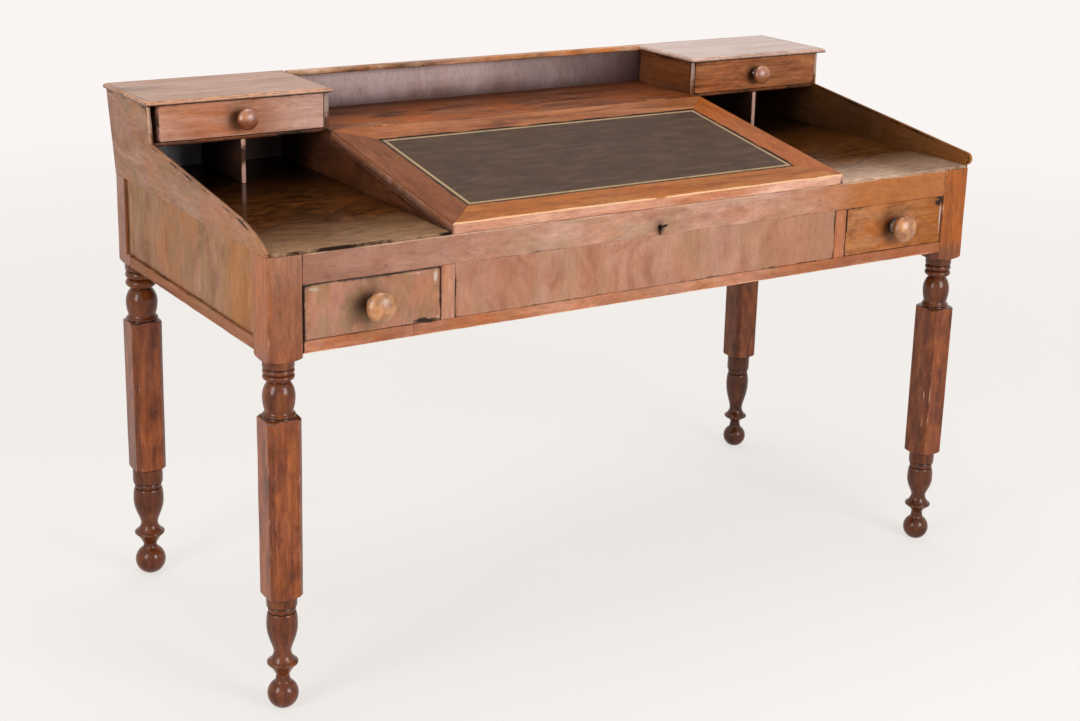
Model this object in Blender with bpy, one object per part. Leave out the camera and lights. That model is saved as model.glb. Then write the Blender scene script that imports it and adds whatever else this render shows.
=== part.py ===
"""A plantation desk in mahogany: a leather writing slope between two drawer boxes, on a case with turned legs.

Metres, +Z up. X runs along the desk's width and the sitter faces +Y. The origin is on the floor under the middle of
the desk's bounding box.
"""

import math

import bmesh
import bpy
from mathutils import Vector

# The case and its posts
WIDTH = 1.450
DEPTH = 0.650
POST = 0.058
CASE_BOTTOM = 0.606
BOTTOM_RAIL = 0.020
DRAWER_OPENING = 0.091
TOP_RAIL = 0.048
RAIL_THICKNESS = 0.022
MUNTIN = 0.025
CENTRE_PANEL = 0.016
PANEL = 0.012
SIDE_RECESS = 0.005
BACK_RECESS = 0.010
POST_REBATE = 0.019
CASE_FLOOR = 0.008

# The boxes and boards on top of the case
FLOOR = 0.0055
FLOOR_OVERHANG = 0.001
END_BOARD = 0.007
INNER_BOARD = 0.009
INNER_TIP = 0.004
PIGEONHOLE = 0.0785
DECK = 0.006
DIVIDER = 0.008
UPPER_OPENING = 0.0645
BOX_DEPTH = 0.195
TOP_BOARD = 0.0084
TOP_OVER_SIDE = 0.015
TOP_OVER_FRONT = 0.008
TOP_OVER_BACK = 0.006
TOP_OVER_INNER = 0.004
TOP_MOULDING = 0.006
GALLERY = 0.012
GALLERY_INSET = 0.003
CAP_OVERHANG = 0.005
SHELF = 0.012
SHELF_LIP = 0.022
NOSE_HEIGHT = 0.0237
NOSE_OVERHANG = 0.009
# What age has done to the left end board: it leans out by this much at the top, and its nose is gone this far back
LEFT_SPLAY = 0.012
LEFT_WORN = 0.097

# The lid
LID_WIDTH = 0.812
LID = 0.0185
LID_OVERHANG = 0.003
LID_REST = 0.0006
LID_SHY = 0.0025
BORDER_WIDTH = 0.062
BORDER = 0.0022
LEATHER = 0.0015

# Butt hinges of the lid
HINGE_LENGTH = 0.050
HINGE_FROM_END = 0.110
HINGE_LEAF = 0.0018
HINGE_HEIGHT = 0.0085
HINGE_GAP = 0.0012
KNUCKLE_RADIUS = 0.0022
PIN_RADIUS = 0.0010
PIN_RISE = 0.0004

# The lock behind the keyhole, set a little right of the middle
LOCK_RIGHT = 0.003
KEYHOLE_DROP = 0.034
KEYHOLE_RADIUS = 0.0027
KEYHOLE_SLOT = 0.0028
KEYHOLE_LENGTH = 0.011
LOCK_WIDTH = 0.070
LOCK_HEIGHT = 0.044
LOCK_DEPTH = 0.014
STAPLE_WIDTH = 0.016
STAPLE_LENGTH = 0.0125
STAPLE_PLAY = 0.003
STAPLE_THICKNESS = 0.0025
LINK_PLATE = 0.0015
LINK_WIDTH = 0.056
LOCK_WALL = 0.002

# Drawers and knobs
FRONT_GAP = 0.0012
LOWER_FRONT = 0.020
UPPER_FRONT = 0.014
DRAWER_SIDE = 0.009
DRAWER_BOTTOM = 0.006
BOTTOM_GROOVE = 0.004
BOTTOM_LIFT = 0.008
SIDE_DROP = 0.010
LOWER_LENGTH = 0.500
BACK_SPACE = 0.003
LOWER_KNOB = 0.051
LOWER_REACH = 0.043
UPPER_KNOB = 0.038
UPPER_REACH = 0.033
TENON_RADIUS = 0.006
TENON_LENGTH = 0.010

# Turned members of the front left leg, as radii and heights: the lower ones stand on the floor, the upper ones hang
# from the case
BALL_RADIUS = 0.0255
FOOT_FLAT = 0.010
NECK_RADIUS = 0.0108
NECK_HEIGHT = 0.0565
KNOP_RADIUS = 0.0255
KNOP_HEIGHT = 0.079
RIM = 0.003
WAIST_RADIUS = 0.0143
WAIST_HEIGHT = 0.099
VASE_RADIUS = 0.0255
VASE_HEIGHT = 0.146
VASE_TOP = 0.169
VASE_LIP = 0.0218
RING_RADIUS = 0.0226
RING_TOP = 0.1795
COLLAR_RADIUS = 0.0251
COLLAR_TOP = 0.196
SHAFT_CHAMFER = 0.008
SHAFT_TAPER = 0.0025
SHOULDER = 0.014
SHAFT_TOP_BELOW = 0.105
FILLET_RADIUS = 0.0262
FILLET = 0.0045
EGG_RADIUS = 0.0261
EGG_BELOW = 0.072
EGG_RISE = 0.0336
EGG_FALL = 0.045
COVE_RADIUS = 0.0165
COVE_BELOW = 0.0455
BEAD = 0.0093
BEAD_RADIUS = 0.0254
POMMEL = 0.011
GROOVE = 0.002

# The turner worked by eye: the girth of each leg's members beside the first leg's, and how far they lie above them
BY_EYE = {
    "front_left": {"girth": 1.0, "knop": 0.0, "vase": 0.0, "low": 0.0, "high": 0.0, "egg": 0.0, "post": 0.0},
    "front_right": {"girth": 0.97, "knop": -0.0065, "vase": -0.0175, "low": -0.0125, "high": -0.0135, "egg": -0.0125,
                    "post": -0.009},
    "rear_left": {"girth": 1.09, "knop": 0.002, "vase": 0.002, "low": 0.013, "high": -0.0035, "egg": -0.002,
                  "post": 0.010},
    "rear_right": {"girth": 0.96, "knop": -0.009, "vase": 0.0025, "low": 0.017, "high": -0.0035, "egg": -0.002,
                   "post": 0.010},
}

# Clearances: glued joints, and a drawer on its bearer
JOINT = 0.0003
RUN = 0.0005
ARRIS = 0.0006

# Levels and faces that several pieces share
HALF = WIDTH / 2
FRONT = (LOWER_REACH - TOP_OVER_BACK - DEPTH) / 2
BACK = FRONT + DEPTH
POST_INNER = HALF - POST
RAIL_TOP = CASE_BOTTOM + BOTTOM_RAIL
OPENING_TOP = RAIL_TOP + DRAWER_OPENING
CASE_TOP = OPENING_TOP + TOP_RAIL
PANEL_FRONT = BACK - BACK_RECESS - PANEL
BOARD_FOOT = CASE_TOP + JOINT
FLOOR_TOP = BOARD_FOOT + FLOOR
DECK_BOTTOM = FLOOR_TOP + PIGEONHOLE
DECK_TOP = DECK_BOTTOM + DECK
BOX_TOP = DECK_TOP + UPPER_OPENING
BOX_FRONT = BACK - BOX_DEPTH
GALLERY_FRONT = BACK - GALLERY_INSET - GALLERY
SHELF_FRONT = BOX_FRONT - SHELF_LIP
INNER_OUTSIDE = LID_WIDTH / 2 + LID_SHY
INNER_INSIDE = INNER_OUTSIDE - INNER_BOARD
MUNTIN_OUTSIDE = INNER_INSIDE + MUNTIN
END_INSIDE = HALF - END_BOARD

# The lid turns about its pins; its top is level with the shelf at the back and it rests on the top rail in front
HINGE_Y = SHELF_FRONT - HINGE_GAP / 2
HINGE_Z = DECK_TOP + PIN_RISE
LID_RUN = SHELF_FRONT - HINGE_GAP - FRONT + LID_OVERHANG
LID_ANGLE = 0.0
for _ in range(10):
    LID_ANGLE = math.atan((DECK_TOP - CASE_TOP - LID_REST - LID * math.cos(LID_ANGLE)) / LID_RUN)


def material(name, colour, roughness, metallic=0.0):
    """A Principled material with one colour."""
    made = bpy.data.materials.new(name)
    made.use_nodes = True
    shader = made.node_tree.nodes["Principled BSDF"]
    shader.inputs["Base Color"].default_value = (*colour, 1.0)
    shader.inputs["Roughness"].default_value = roughness
    shader.inputs["Metallic"].default_value = metallic
    return made


def add(name, mesh, surface, parent=None, location=(0, 0, 0), rotation=(0, 0, 0), arris=0.0):
    """A named object; its location is in the desk's frame, and its sharp edges are eased by the arris."""
    made = bpy.data.objects.new(name, mesh)
    bpy.context.scene.collection.objects.link(made)
    made.location = Vector(location)
    made.rotation_euler = rotation
    if parent is not None:
        made.parent = parent
        made.location = Vector(location) - parent.location
    made.data.materials.clear()
    made.data.materials.append(surface)
    if arris:
        eased = made.modifiers.new("arris", "BEVEL")
        eased.width = arris
        eased.segments = 1
        eased.limit_method = "ANGLE"
        eased.angle_limit = math.radians(40)
    return made


def axis_empty(name, location):
    """An empty on a joint's axis, for the pieces that move on it."""
    made = bpy.data.objects.new(name, None)
    bpy.context.scene.collection.objects.link(made)
    made.location = location
    return made


def cutter(name, mesh, location=(0, 0, 0), rotation=(0, 0, 0)):
    """A hidden helper for a Boolean."""
    made = bpy.data.objects.new(name, mesh)
    bpy.context.scene.collection.objects.link(made)
    made.location = location
    made.rotation_euler = rotation
    made.hide_render = True
    made.display_type = "WIRE"
    return made


def combine(target, other, operation="DIFFERENCE"):
    """Leaves a live Boolean of the target with the helper."""
    change = target.modifiers.new(other.name, "BOOLEAN")
    change.operation = operation
    change.solver = "EXACT"
    change.object = other
    return target


def mesh_of(built, name):
    """Turns a bmesh into mesh data with its faces outwards."""
    bmesh.ops.recalc_face_normals(built, faces=built.faces)
    mesh = bpy.data.meshes.new(name)
    built.to_mesh(mesh)
    built.free()
    return mesh


def prism_mesh(name, outline, along, low, high):
    """Mesh of an outline drawn across one axis ("X": y and z, "Y": x and z, "Z": x and y) and extruded along it."""
    place = {
        "X": lambda a, b, c: (c, a, b),
        "Y": lambda a, b, c: (a, c, b),
        "Z": lambda a, b, c: (a, b, c),
    }[along]
    built = bmesh.new()
    near = [built.verts.new(place(a, b, low)) for a, b in outline]
    far = [built.verts.new(place(a, b, high)) for a, b in outline]
    built.faces.new(near)
    built.faces.new(far)
    for i in range(len(outline)):
        j = (i + 1) % len(outline)
        built.faces.new((near[i], near[j], far[j], far[i]))
    return mesh_of(built, name)


def box_mesh(name, x, y, z):
    """Mesh of a box centred on the origin, with the sizes of three (low, high) pairs."""
    sides = [(high - low) / 2 for low, high in (x, y, z)]
    outline = [(-sides[0], -sides[1]), (sides[0], -sides[1]), (sides[0], sides[1]), (-sides[0], sides[1])]
    return prism_mesh(name, outline, "Z", -sides[2], sides[2])


def middle(*pairs):
    return tuple((low + high) / 2 for low, high in pairs)


def board(name, x, y, z, surface, parent=None, arris=ARRIS):
    """A square-edged board between three (low, high) pairs."""
    return add(name, box_mesh(name, x, y, z), surface, parent, middle(x, y, z), arris=arris)


def box_cutter(name, x, y, z):
    return cutter(name, box_mesh(name, x, y, z), middle(x, y, z))


def turned_mesh(name, profile, steps):
    """Mesh of a profile of (radius, height) pairs, bottom to top, turned about Z."""
    built = bmesh.new()
    rings = []
    for radius, height in profile:
        if radius == 0:
            rings.append([built.verts.new((0, 0, height))])
            continue
        turns = [2 * math.pi * (i + 0.5) / steps for i in range(steps)]
        rings.append([built.verts.new((radius * math.cos(t), radius * math.sin(t), height)) for t in turns])
    for lower, upper in zip(rings, rings[1:]):
        for i in range(steps):
            j = (i + 1) % steps
            if len(lower) == 1:
                built.faces.new((lower[0], upper[i], upper[j]))
            elif len(upper) == 1:
                built.faces.new((lower[i], lower[j], upper[0]))
            else:
                built.faces.new((lower[i], lower[j], upper[j], upper[i]))
    return mesh_of(built, name)


def sides(low, high):
    """The right-hand span and its mirror image, with names and signs."""
    return (("left", -1, (-high, -low)), ("right", 1, (low, high)))


def arc(centre, size, start, end, count):
    """Points (radius, height) on an ellipse's arc, angles in degrees from the outward direction."""
    turns = [math.radians(start + (end - start) * i / (count - 1)) for i in range(count)]
    return [(centre[0] + size[0] * math.cos(t), centre[1] + size[1] * math.sin(t)) for t in turns]


def leg_profile(eye):
    """The turned outline of a leg, wider than the square stock where the lathe left it alone."""
    girth = eye["girth"]
    ball = girth * BALL_RADIUS
    centre = math.sqrt(ball**2 - FOOT_FLAT**2)
    points = [(0, 0)]
    points += arc((0, centre), (ball, ball), -math.degrees(math.asin(centre / ball)), 58, 7)
    points += [(girth * NECK_RADIUS, NECK_HEIGHT)]
    # Knop: a cone up to a rounded rim, then a hollow flare in to the waist
    knop = KNOP_HEIGHT + eye["knop"]
    rim = girth * KNOP_RADIUS - RIM
    points += arc((rim, knop), (RIM, RIM), -60, 60, 3)
    waist = (girth * WAIST_RADIUS, WAIST_HEIGHT + eye["knop"])
    for share in (0.3, 0.65, 1.0):
        points.append((waist[0] + (rim - waist[0]) * (1 - share) ** 2, knop + RIM + (waist[1] - knop - RIM) * share))
    # Vase: swells fast out of the waist and rounds over to its lip
    widest = girth * VASE_RADIUS
    vase = VASE_HEIGHT + eye["vase"]
    for share in (0.18, 0.4, 0.65, 1.0):
        swell = math.sin(math.pi / 2 * share**0.75) ** 2
        points.append((waist[0] + (widest - waist[0]) * swell, waist[1] + (vase - waist[1]) * share))
    lip = girth * VASE_LIP
    points += arc((lip, vase), (widest - lip, VASE_TOP - VASE_HEIGHT), 40, 90, 2)
    ring = (VASE_TOP + eye["vase"], RING_TOP + eye["vase"])
    points += arc((lip - GROOVE / 2, (ring[0] + ring[1]) / 2),
                  (girth * RING_RADIUS - lip + GROOVE / 2, (ring[1] - ring[0] - GROOVE) / 2), -70, 70, 3)
    collar = girth * COLLAR_RADIUS
    shoulder = COLLAR_TOP + eye["low"]
    points += [(collar, ring[1] + GROOVE), (collar, shoulder)]
    # Stock corners lie inside this radius, so the shaft and the post stay square
    clear = 0.75 * POST
    points += arc((collar, shoulder + GROOVE + SHOULDER), (clear - collar, SHOULDER), -90, 0, 4)
    top = CASE_BOTTOM - SHAFT_TOP_BELOW + eye["high"]
    points += arc((collar, top - SHOULDER), (clear - collar, SHOULDER), 0, 90, 4)
    fillet = girth * FILLET_RADIUS
    points += [(fillet, top + GROOVE), (fillet, top + GROOVE + FILLET)]
    egg = CASE_BOTTOM - EGG_BELOW + eye["egg"]
    points += arc((0, egg), (girth * EGG_RADIUS, EGG_FALL), -31, 0, 4)
    points += arc((0, egg), (girth * EGG_RADIUS, EGG_RISE), 12, 48, 4)
    # Cove, two beads and a collar that runs out into the square post
    cove = CASE_BOTTOM - COVE_BELOW + eye["egg"]
    foot = CASE_BOTTOM + eye["post"]
    points += [(girth * COVE_RADIUS, cove)]
    high = cove + GROOVE + 2 * BEAD + eye["post"] - eye["egg"]
    bead = (high - cove - GROOVE) / 2
    reach = girth * BEAD_RADIUS
    for level in (cove + GROOVE + bead / 2, high - bead / 2):
        points += arc((reach - bead / 2, level), (bead / 2, bead / 2), -75, 75, 3)
    points += [(reach, high), (reach, foot - POMMEL)]
    points += arc((reach, foot), (clear - reach, POMMEL - GROOVE / 4), -90, 0, 4)
    points += [(clear, CASE_TOP + POST), (0, CASE_TOP + POST)]
    return points


def stock_mesh():
    """The square stock of a leg: tapered and chamfered along the shaft, with nearly sharp corners at the post."""
    change = CASE_BOTTOM - EGG_BELOW
    step = GROOVE
    built = bmesh.new()
    rings = []
    for height, side, chamfer in ((-POST, POST - SHAFT_TAPER, SHAFT_CHAMFER), (change - step, POST, SHAFT_CHAMFER),
                                  (change + step, POST, ARRIS), (CASE_TOP, POST, ARRIS)):
        far = side / 2
        near = far - chamfer
        corners = ((far, near), (near, far), (-near, far), (-far, near),
                   (-far, -near), (-near, -far), (near, -far), (far, -near))
        rings.append([built.verts.new((x, y, height)) for x, y in corners])
    for lower, upper in zip(rings, rings[1:]):
        for i in range(8):
            j = (i + 1) % 8
            built.faces.new((lower[i], lower[j], upper[j], upper[i]))
    built.faces.new(rings[0])
    built.faces.new(rings[-1])
    return mesh_of(built, "stock")


def build_legs(wood):
    stock = stock_mesh()
    for end, y in (("front", FRONT + POST / 2), ("rear", BACK - POST / 2)):
        for side, sign, _ in sides(0, 1):
            where = (sign * (HALF - POST / 2), y, 0)
            leg = add(f"leg_{end}_{side}", stock.copy(), wood, location=where)
            turning = turned_mesh(f"turning_{end}_{side}", leg_profile(BY_EYE[f"{end}_{side}"]), 20)
            combine(leg, cutter(f"turning_{end}_{side}", turning, where), "INTERSECT")
            if end == "rear":
                x = sorted((sign * (HALF - SIDE_RECESS - PANEL - JOINT), sign * (HALF + 0.01)))
                rebate = box_cutter(f"rebate_{side}", x, (BACK - POST - 0.01, BACK - POST + POST_REBATE),
                                    (RAIL_TOP, CASE_TOP + 0.01))
                combine(leg, rebate)


def build_front(wood):
    across = (-POST_INNER + JOINT, POST_INNER - JOINT)
    depth = (FRONT, FRONT + RAIL_THICKNESS)
    rail = board("top_rail", across, depth, (OPENING_TOP, CASE_TOP), wood)
    board("bottom_rail", across, depth, (CASE_BOTTOM, RAIL_TOP), wood)
    opening = (RAIL_TOP + JOINT, OPENING_TOP - JOINT)
    for side, _, x in sides(INNER_INSIDE, MUNTIN_OUTSIDE):
        board(f"muntin_{side}", x, depth, opening, wood)
    panel_face = FRONT + ARRIS
    board("centre_panel", (-INNER_INSIDE + JOINT, INNER_INSIDE - JOINT),
          (panel_face, panel_face + CENTRE_PANEL), opening, wood)
    # Keyhole: a round hole over a slot
    eye = CASE_TOP - KEYHOLE_DROP
    outline = [(LOCK_RIGHT + KEYHOLE_RADIUS * math.sin(t), eye + KEYHOLE_RADIUS * math.cos(t))
               for t in [math.radians(-150 + 30 * i) for i in range(11)]]
    outline += [(LOCK_RIGHT + KEYHOLE_SLOT / 2, eye - KEYHOLE_LENGTH),
                (LOCK_RIGHT - KEYHOLE_SLOT / 2, eye - KEYHOLE_LENGTH)]
    hole = cutter("keyhole", prism_mesh("keyhole", outline, "Y", FRONT - 0.01, FRONT + RAIL_THICKNESS + 0.008))
    combine(rail, hole)
    return hole


def build_case(wood, inside):
    for side, _, x in sides(HALF - SIDE_RECESS - PANEL, HALF - SIDE_RECESS):
        board(f"side_panel_{side}", x, (FRONT + POST + JOINT, BACK - POST + POST_REBATE - JOINT),
              (RAIL_TOP + JOINT, CASE_TOP - JOINT), wood)
    for side, _, x in sides(HALF - RAIL_THICKNESS, HALF):
        board(f"side_rail_{side}", x, (FRONT + POST + JOINT, BACK - POST - JOINT), (CASE_BOTTOM, RAIL_TOP), wood)
    board("back_panel", (-POST_INNER + JOINT, POST_INNER - JOINT), (PANEL_FRONT, PANEL_FRONT + PANEL),
          (CASE_BOTTOM, CASE_TOP - JOINT), inside)
    # The bottom board is notched round the four posts
    wide = HALF - RAIL_THICKNESS - JOINT
    narrow = POST_INNER - JOINT
    ys = (FRONT + RAIL_THICKNESS + JOINT, FRONT + POST + JOINT, BACK - POST - JOINT, PANEL_FRONT - JOINT)
    half = [(narrow, ys[0]), (narrow, ys[1]), (wide, ys[1]), (wide, ys[2]), (narrow, ys[2]), (narrow, ys[3])]
    outline = half + [(-x, y) for x, y in reversed(half)]
    add("case_bottom", prism_mesh("case_bottom", outline, "Z", RAIL_TOP - CASE_FLOOR, RAIL_TOP), inside)
    for side, _, x in sides(INNER_INSIDE, MUNTIN_OUTSIDE):
        board(f"partition_{side}", x, (FRONT + RAIL_THICKNESS + JOINT, PANEL_FRONT - JOINT),
              (RAIL_TOP + JOINT, CASE_TOP - JOINT), inside)


def lid_underside(y):
    """Height of the closed lid's underside over a point of the case."""
    front_top = DECK_TOP - LID_RUN * math.tan(LID_ANGLE)
    along = y - FRONT + LID_OVERHANG
    return front_top + along * math.tan(LID_ANGLE) - LID / math.cos(LID_ANGLE)


def splay(side, z):
    """How far an end board has moved outwards at a height."""
    return LEFT_SPLAY * (z - BOARD_FOOT) / (BOX_TOP - BOARD_FOOT) if side == "left" else 0.0


def end_board_outline(side):
    """The side view: box at the back, a slope down to the front, and a nose that is rounded or worn away."""
    points = [(BACK, BOARD_FOOT), (BACK, BOX_TOP - JOINT), (BOX_FRONT, BOX_TOP - JOINT), (BOX_FRONT, DECK_TOP)]
    rise = (DECK_TOP - FLOOR_TOP - NOSE_HEIGHT) / (BOX_FRONT - FRONT)
    if side == "left":
        worn = FRONT + LEFT_WORN
        top = FLOOR_TOP + NOSE_HEIGHT + rise * LEFT_WORN
        points += [(worn, top), (worn - 0.4 * LEFT_WORN, top - 0.28 * (top - FLOOR_TOP)),
                   (worn - 0.75 * LEFT_WORN, top - 0.62 * (top - FLOOR_TOP)), (FRONT + 0.004, FLOOR_TOP + 0.001)]
        return points + [(FRONT + 0.004, BOARD_FOOT)]
    round_end = NOSE_HEIGHT / 2
    centre = (FRONT + round_end - NOSE_OVERHANG, FLOOR_TOP + round_end + 0.0004)
    start = 90 + math.degrees(math.atan(rise))
    points += arc(centre, (round_end, round_end), start, 270, 7)
    return points + [(centre[0], BOARD_FOOT)]


def build_superstructure(wood, inside):
    behind = GALLERY_FRONT - JOINT
    for side, sign, x in sides(INNER_OUTSIDE + JOINT, END_INSIDE - JOINT):
        board(f"floor_{side}", x, (FRONT - FLOOR_OVERHANG, behind), (BOARD_FOOT, FLOOR_TOP), wood, arris=0)
        mesh = prism_mesh(f"end_board_{side}", end_board_outline(side), "X", *sorted((sign * END_INSIDE, sign * HALF)))
        for vertex in mesh.vertices:
            vertex.co.x += sign * splay(side, vertex.co.z)
        add(f"end_board_{side}", mesh, wood, arris=ARRIS)
        outer = END_INSIDE - JOINT + splay(side, DECK_BOTTOM)
        board(f"deck_{side}", sorted((sign * (INNER_OUTSIDE + JOINT), sign * outer)), (BOX_FRONT, behind),
              (DECK_BOTTOM, DECK_TOP), wood, arris=0)
        centre = sign * (INNER_OUTSIDE + END_INSIDE) / 2
        board(f"divider_{side}", (centre - DIVIDER / 2, centre + DIVIDER / 2), (BOX_FRONT, behind),
              (FLOOR_TOP + JOINT, DECK_BOTTOM - JOINT), wood)
    # The inner board starts where the lid's underside leaves it a tip, and steps up at the shelf and at the box
    tip = FRONT - LID_OVERHANG
    tip += (BOARD_FOOT + INNER_TIP + LID_REST - lid_underside(tip)) / math.tan(LID_ANGLE)
    outline = [(behind, BOARD_FOOT), (behind, BOX_TOP - JOINT), (BOX_FRONT, BOX_TOP - JOINT),
               (BOX_FRONT, DECK_TOP), (SHELF_FRONT, DECK_TOP), (SHELF_FRONT, lid_underside(SHELF_FRONT) - LID_REST),
               (tip, BOARD_FOOT + INNER_TIP), (tip, BOARD_FOOT)]
    for side, _, x in sides(INNER_INSIDE, INNER_OUTSIDE):
        add(f"inner_board_{side}", prism_mesh(f"inner_board_{side}", outline, "X", *x), wood, arris=ARRIS)
    left_top = -END_INSIDE + JOINT - splay("left", BOX_TOP - JOINT)
    outline = [(END_INSIDE - JOINT, BOARD_FOOT), (END_INSIDE - JOINT, BOX_TOP - JOINT),
               (left_top, BOX_TOP - JOINT), (-END_INSIDE + JOINT, BOARD_FOOT)]
    add("gallery_back", prism_mesh("gallery_back", outline, "Y", GALLERY_FRONT, GALLERY_FRONT + GALLERY), wood)
    top = (BOX_TOP, BOX_TOP + TOP_BOARD)
    inner_end = INNER_INSIDE - TOP_OVER_INNER
    for side, _, x in sides(inner_end, HALF + TOP_OVER_SIDE):
        add(f"box_top_{side}", moulded_top_mesh(f"box_top_{side}", x, top), wood)
    board("gallery_cap", (-inner_end + JOINT, inner_end - JOINT),
          (GALLERY_FRONT - CAP_OVERHANG, GALLERY_FRONT + GALLERY + GALLERY_INSET), top, wood, arris=0.0015)
    return board("shelf", (-INNER_INSIDE + JOINT, INNER_INSIDE - JOINT), (SHELF_FRONT, behind),
                 (DECK_TOP - SHELF, DECK_TOP), wood, arris=0)


def moulded_top_mesh(name, x, z):
    """A top board whose front and end edges are rounded over from above, and whose back edge is square."""
    built = bmesh.new()
    steps = [(0.0, 0.0)]
    steps += [(TOP_MOULDING * (1 - math.cos(t)), (z[1] - z[0]) * (0.25 + 0.75 * math.sin(t)))
              for t in [math.radians(30 * i) for i in range(4)]]
    rings = []
    for inset, rise in steps:
        front = BOX_FRONT - TOP_OVER_FRONT + inset
        corners = ((x[0] + inset, front), (x[1] - inset, front),
                   (x[1] - inset, BACK + TOP_OVER_BACK), (x[0] + inset, BACK + TOP_OVER_BACK))
        rings.append([built.verts.new((a, b, z[0] + rise)) for a, b in corners])
    for lower, upper in zip(rings, rings[1:]):
        for i in range(4):
            j = (i + 1) % 4
            built.faces.new((lower[i], lower[j], upper[j], upper[i]))
    built.faces.new(rings[0])
    built.faces.new(rings[-1])
    return mesh_of(built, name)


def in_lid(y, z):
    """A point of the closed desk in the lid's own frame: y up the slope from the pins, z out of the slope."""
    away = Vector((0, y - HINGE_Y, z - HINGE_Z))
    cosine = math.cos(LID_ANGLE)
    sine = math.sin(LID_ANGLE)
    return away.y * cosine + away.z * sine, away.z * cosine - away.y * sine


def build_lid(wood, leather, brass, shelf):
    axis = axis_empty("lid_axis", (0, HINGE_Y, HINGE_Z))
    tilt = (LID_ANGLE, 0, 0)
    at_axis = tuple(axis.location)
    back, top = in_lid(SHELF_FRONT - HINGE_GAP, DECK_TOP)
    front = back - LID_RUN / math.cos(LID_ANGLE)
    bed = top - BORDER
    # The back edge is plumb when the lid is shut
    plumb = math.tan(LID_ANGLE)
    outline = [(front, bed - JOINT), (back - BORDER * plumb, bed - JOINT), (back - LID * plumb, top - LID),
               (front, top - LID)]
    half = LID_WIDTH / 2
    core = add("lid_core", prism_mesh("lid_core", outline, "X", -half, half), wood, axis, at_axis, tilt)
    # Border strips with mitred corners
    inner = half - BORDER_WIDTH
    low = front + BORDER_WIDTH
    high = back - BORDER_WIDTH
    slit = JOINT / 2
    strips = {
        "front": [(-half + slit, front), (half - slit, front), (inner - slit, low), (-inner + slit, low)],
        "back": [(half - slit, back - slit), (-half + slit, back - slit), (-inner + slit, high), (inner - slit, high)],
        "left": [(-half, back - 2 * slit), (-half, front + slit), (-inner, low + slit), (-inner, high - slit)],
        "right": [(half, front + slit), (half, back - 2 * slit), (inner, high - slit), (inner, low + slit)],
    }
    made = {}
    for name, outline in strips.items():
        mesh = prism_mesh(f"lid_border_{name}", outline, "Z", bed, top)
        made[name] = add(f"lid_border_{name}", mesh, wood, axis, at_axis, tilt)
    field = [(-inner + JOINT, low + JOINT), (inner - JOINT, low + JOINT), (inner - JOINT, high - JOINT),
             (-inner + JOINT, high - JOINT)]
    add("lid_leather", prism_mesh("lid_leather", field, "Z", bed, bed + LEATHER), leather, axis, at_axis, tilt)
    build_hinges(axis, brass, core, made["back"], shelf)
    return axis, tilt, top, front


def knuckle_mesh(name, spans, radius, bore):
    """Knuckles about X at the origin: (low, high) spans of one radius, over a pin or with a bore through."""
    if bore:
        low, high = spans[0]
        profile = [(bore, low), (radius, low), (radius, high), (bore, high)]
        built = bmesh.new()
        rings = []
        for reach, x in profile:
            turns = [math.radians(30 * i) for i in range(12)]
            rings.append([built.verts.new((x, reach * math.cos(t), reach * math.sin(t))) for t in turns])
        for lower, upper in zip(rings, rings[1:] + rings[:1]):
            for i in range(12):
                j = (i + 1) % 12
                built.faces.new((lower[i], lower[j], upper[j], upper[i]))
        return mesh_of(built, name)
    (a, b), (c, d) = spans
    profile = [(0, a), (radius, a), (radius, b), (PIN_RADIUS, b), (PIN_RADIUS, c), (radius, c), (radius, d), (0, d)]
    mesh = turned_mesh(name, profile, 12)
    for vertex in mesh.vertices:
        vertex.co = (vertex.co.z, -vertex.co.y, vertex.co.x)
    return mesh


def build_hinges(axis, brass, core, back_strip, shelf):
    third = HINGE_LENGTH / 6
    half = HINGE_LENGTH / 2
    reach = max(HINGE_GAP / 2 + HINGE_LEAF + JOINT, KNUCKLE_RADIUS + RUN)
    leaf_top = -KNUCKLE_RADIUS - 0.0004
    tongue_top = -0.72 * KNUCKLE_RADIUS
    for side, sign, _ in sides(0, 1):
        x = sign * (LID_WIDTH / 2 - HINGE_FROM_END)
        where = (x, HINGE_Y, HINGE_Z)
        mortise = box_cutter(f"hinge_mortise_{side}", (x - half - RUN, x + half + RUN),
                             (HINGE_Y - reach, HINGE_Y + reach),
                             (HINGE_Z + leaf_top - HINGE_HEIGHT - JOINT, HINGE_Z + 0.01))
        for target in (core, back_strip, shelf):
            combine(target, mortise)
        for end, parent, way, tongues, knuckle in (
            ("fixed", None, 1, [(-half, -third - RUN / 2), (third + RUN / 2, half)],
             knuckle_mesh("knuckle", [(-half, -third - RUN / 2), (third + RUN / 2, half)], KNUCKLE_RADIUS, 0)),
            ("moving", axis, -1, [(-third + RUN / 2, third - RUN / 2)],
             knuckle_mesh("knuckle", [(-third + RUN / 2, third - RUN / 2)], KNUCKLE_RADIUS, PIN_RADIUS + JOINT)),
        ):
            y = sorted((way * HINGE_GAP / 2, way * (HINGE_GAP / 2 + HINGE_LEAF)))
            # The leaf is a plate with tongues up to its knuckles
            outline = [(-half, leaf_top - HINGE_HEIGHT), (half, leaf_top - HINGE_HEIGHT), (half, leaf_top)]
            for low, high in reversed(tongues):
                outline += [(high, leaf_top), (high, tongue_top), (low, tongue_top), (low, leaf_top)]
            outline += [(-half, leaf_top)]
            # Where a tongue runs to the leaf's end, its corner is there already
            outline = [p for i, p in enumerate(outline) if p != outline[i - 1]]
            leaf = add(f"hinge_{end}_{side}", prism_mesh("leaf", outline, "Y", *y), brass, parent, where)
            combine(leaf, cutter(f"knuckles_{end}_{side}", knuckle, where), "UNION")


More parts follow.
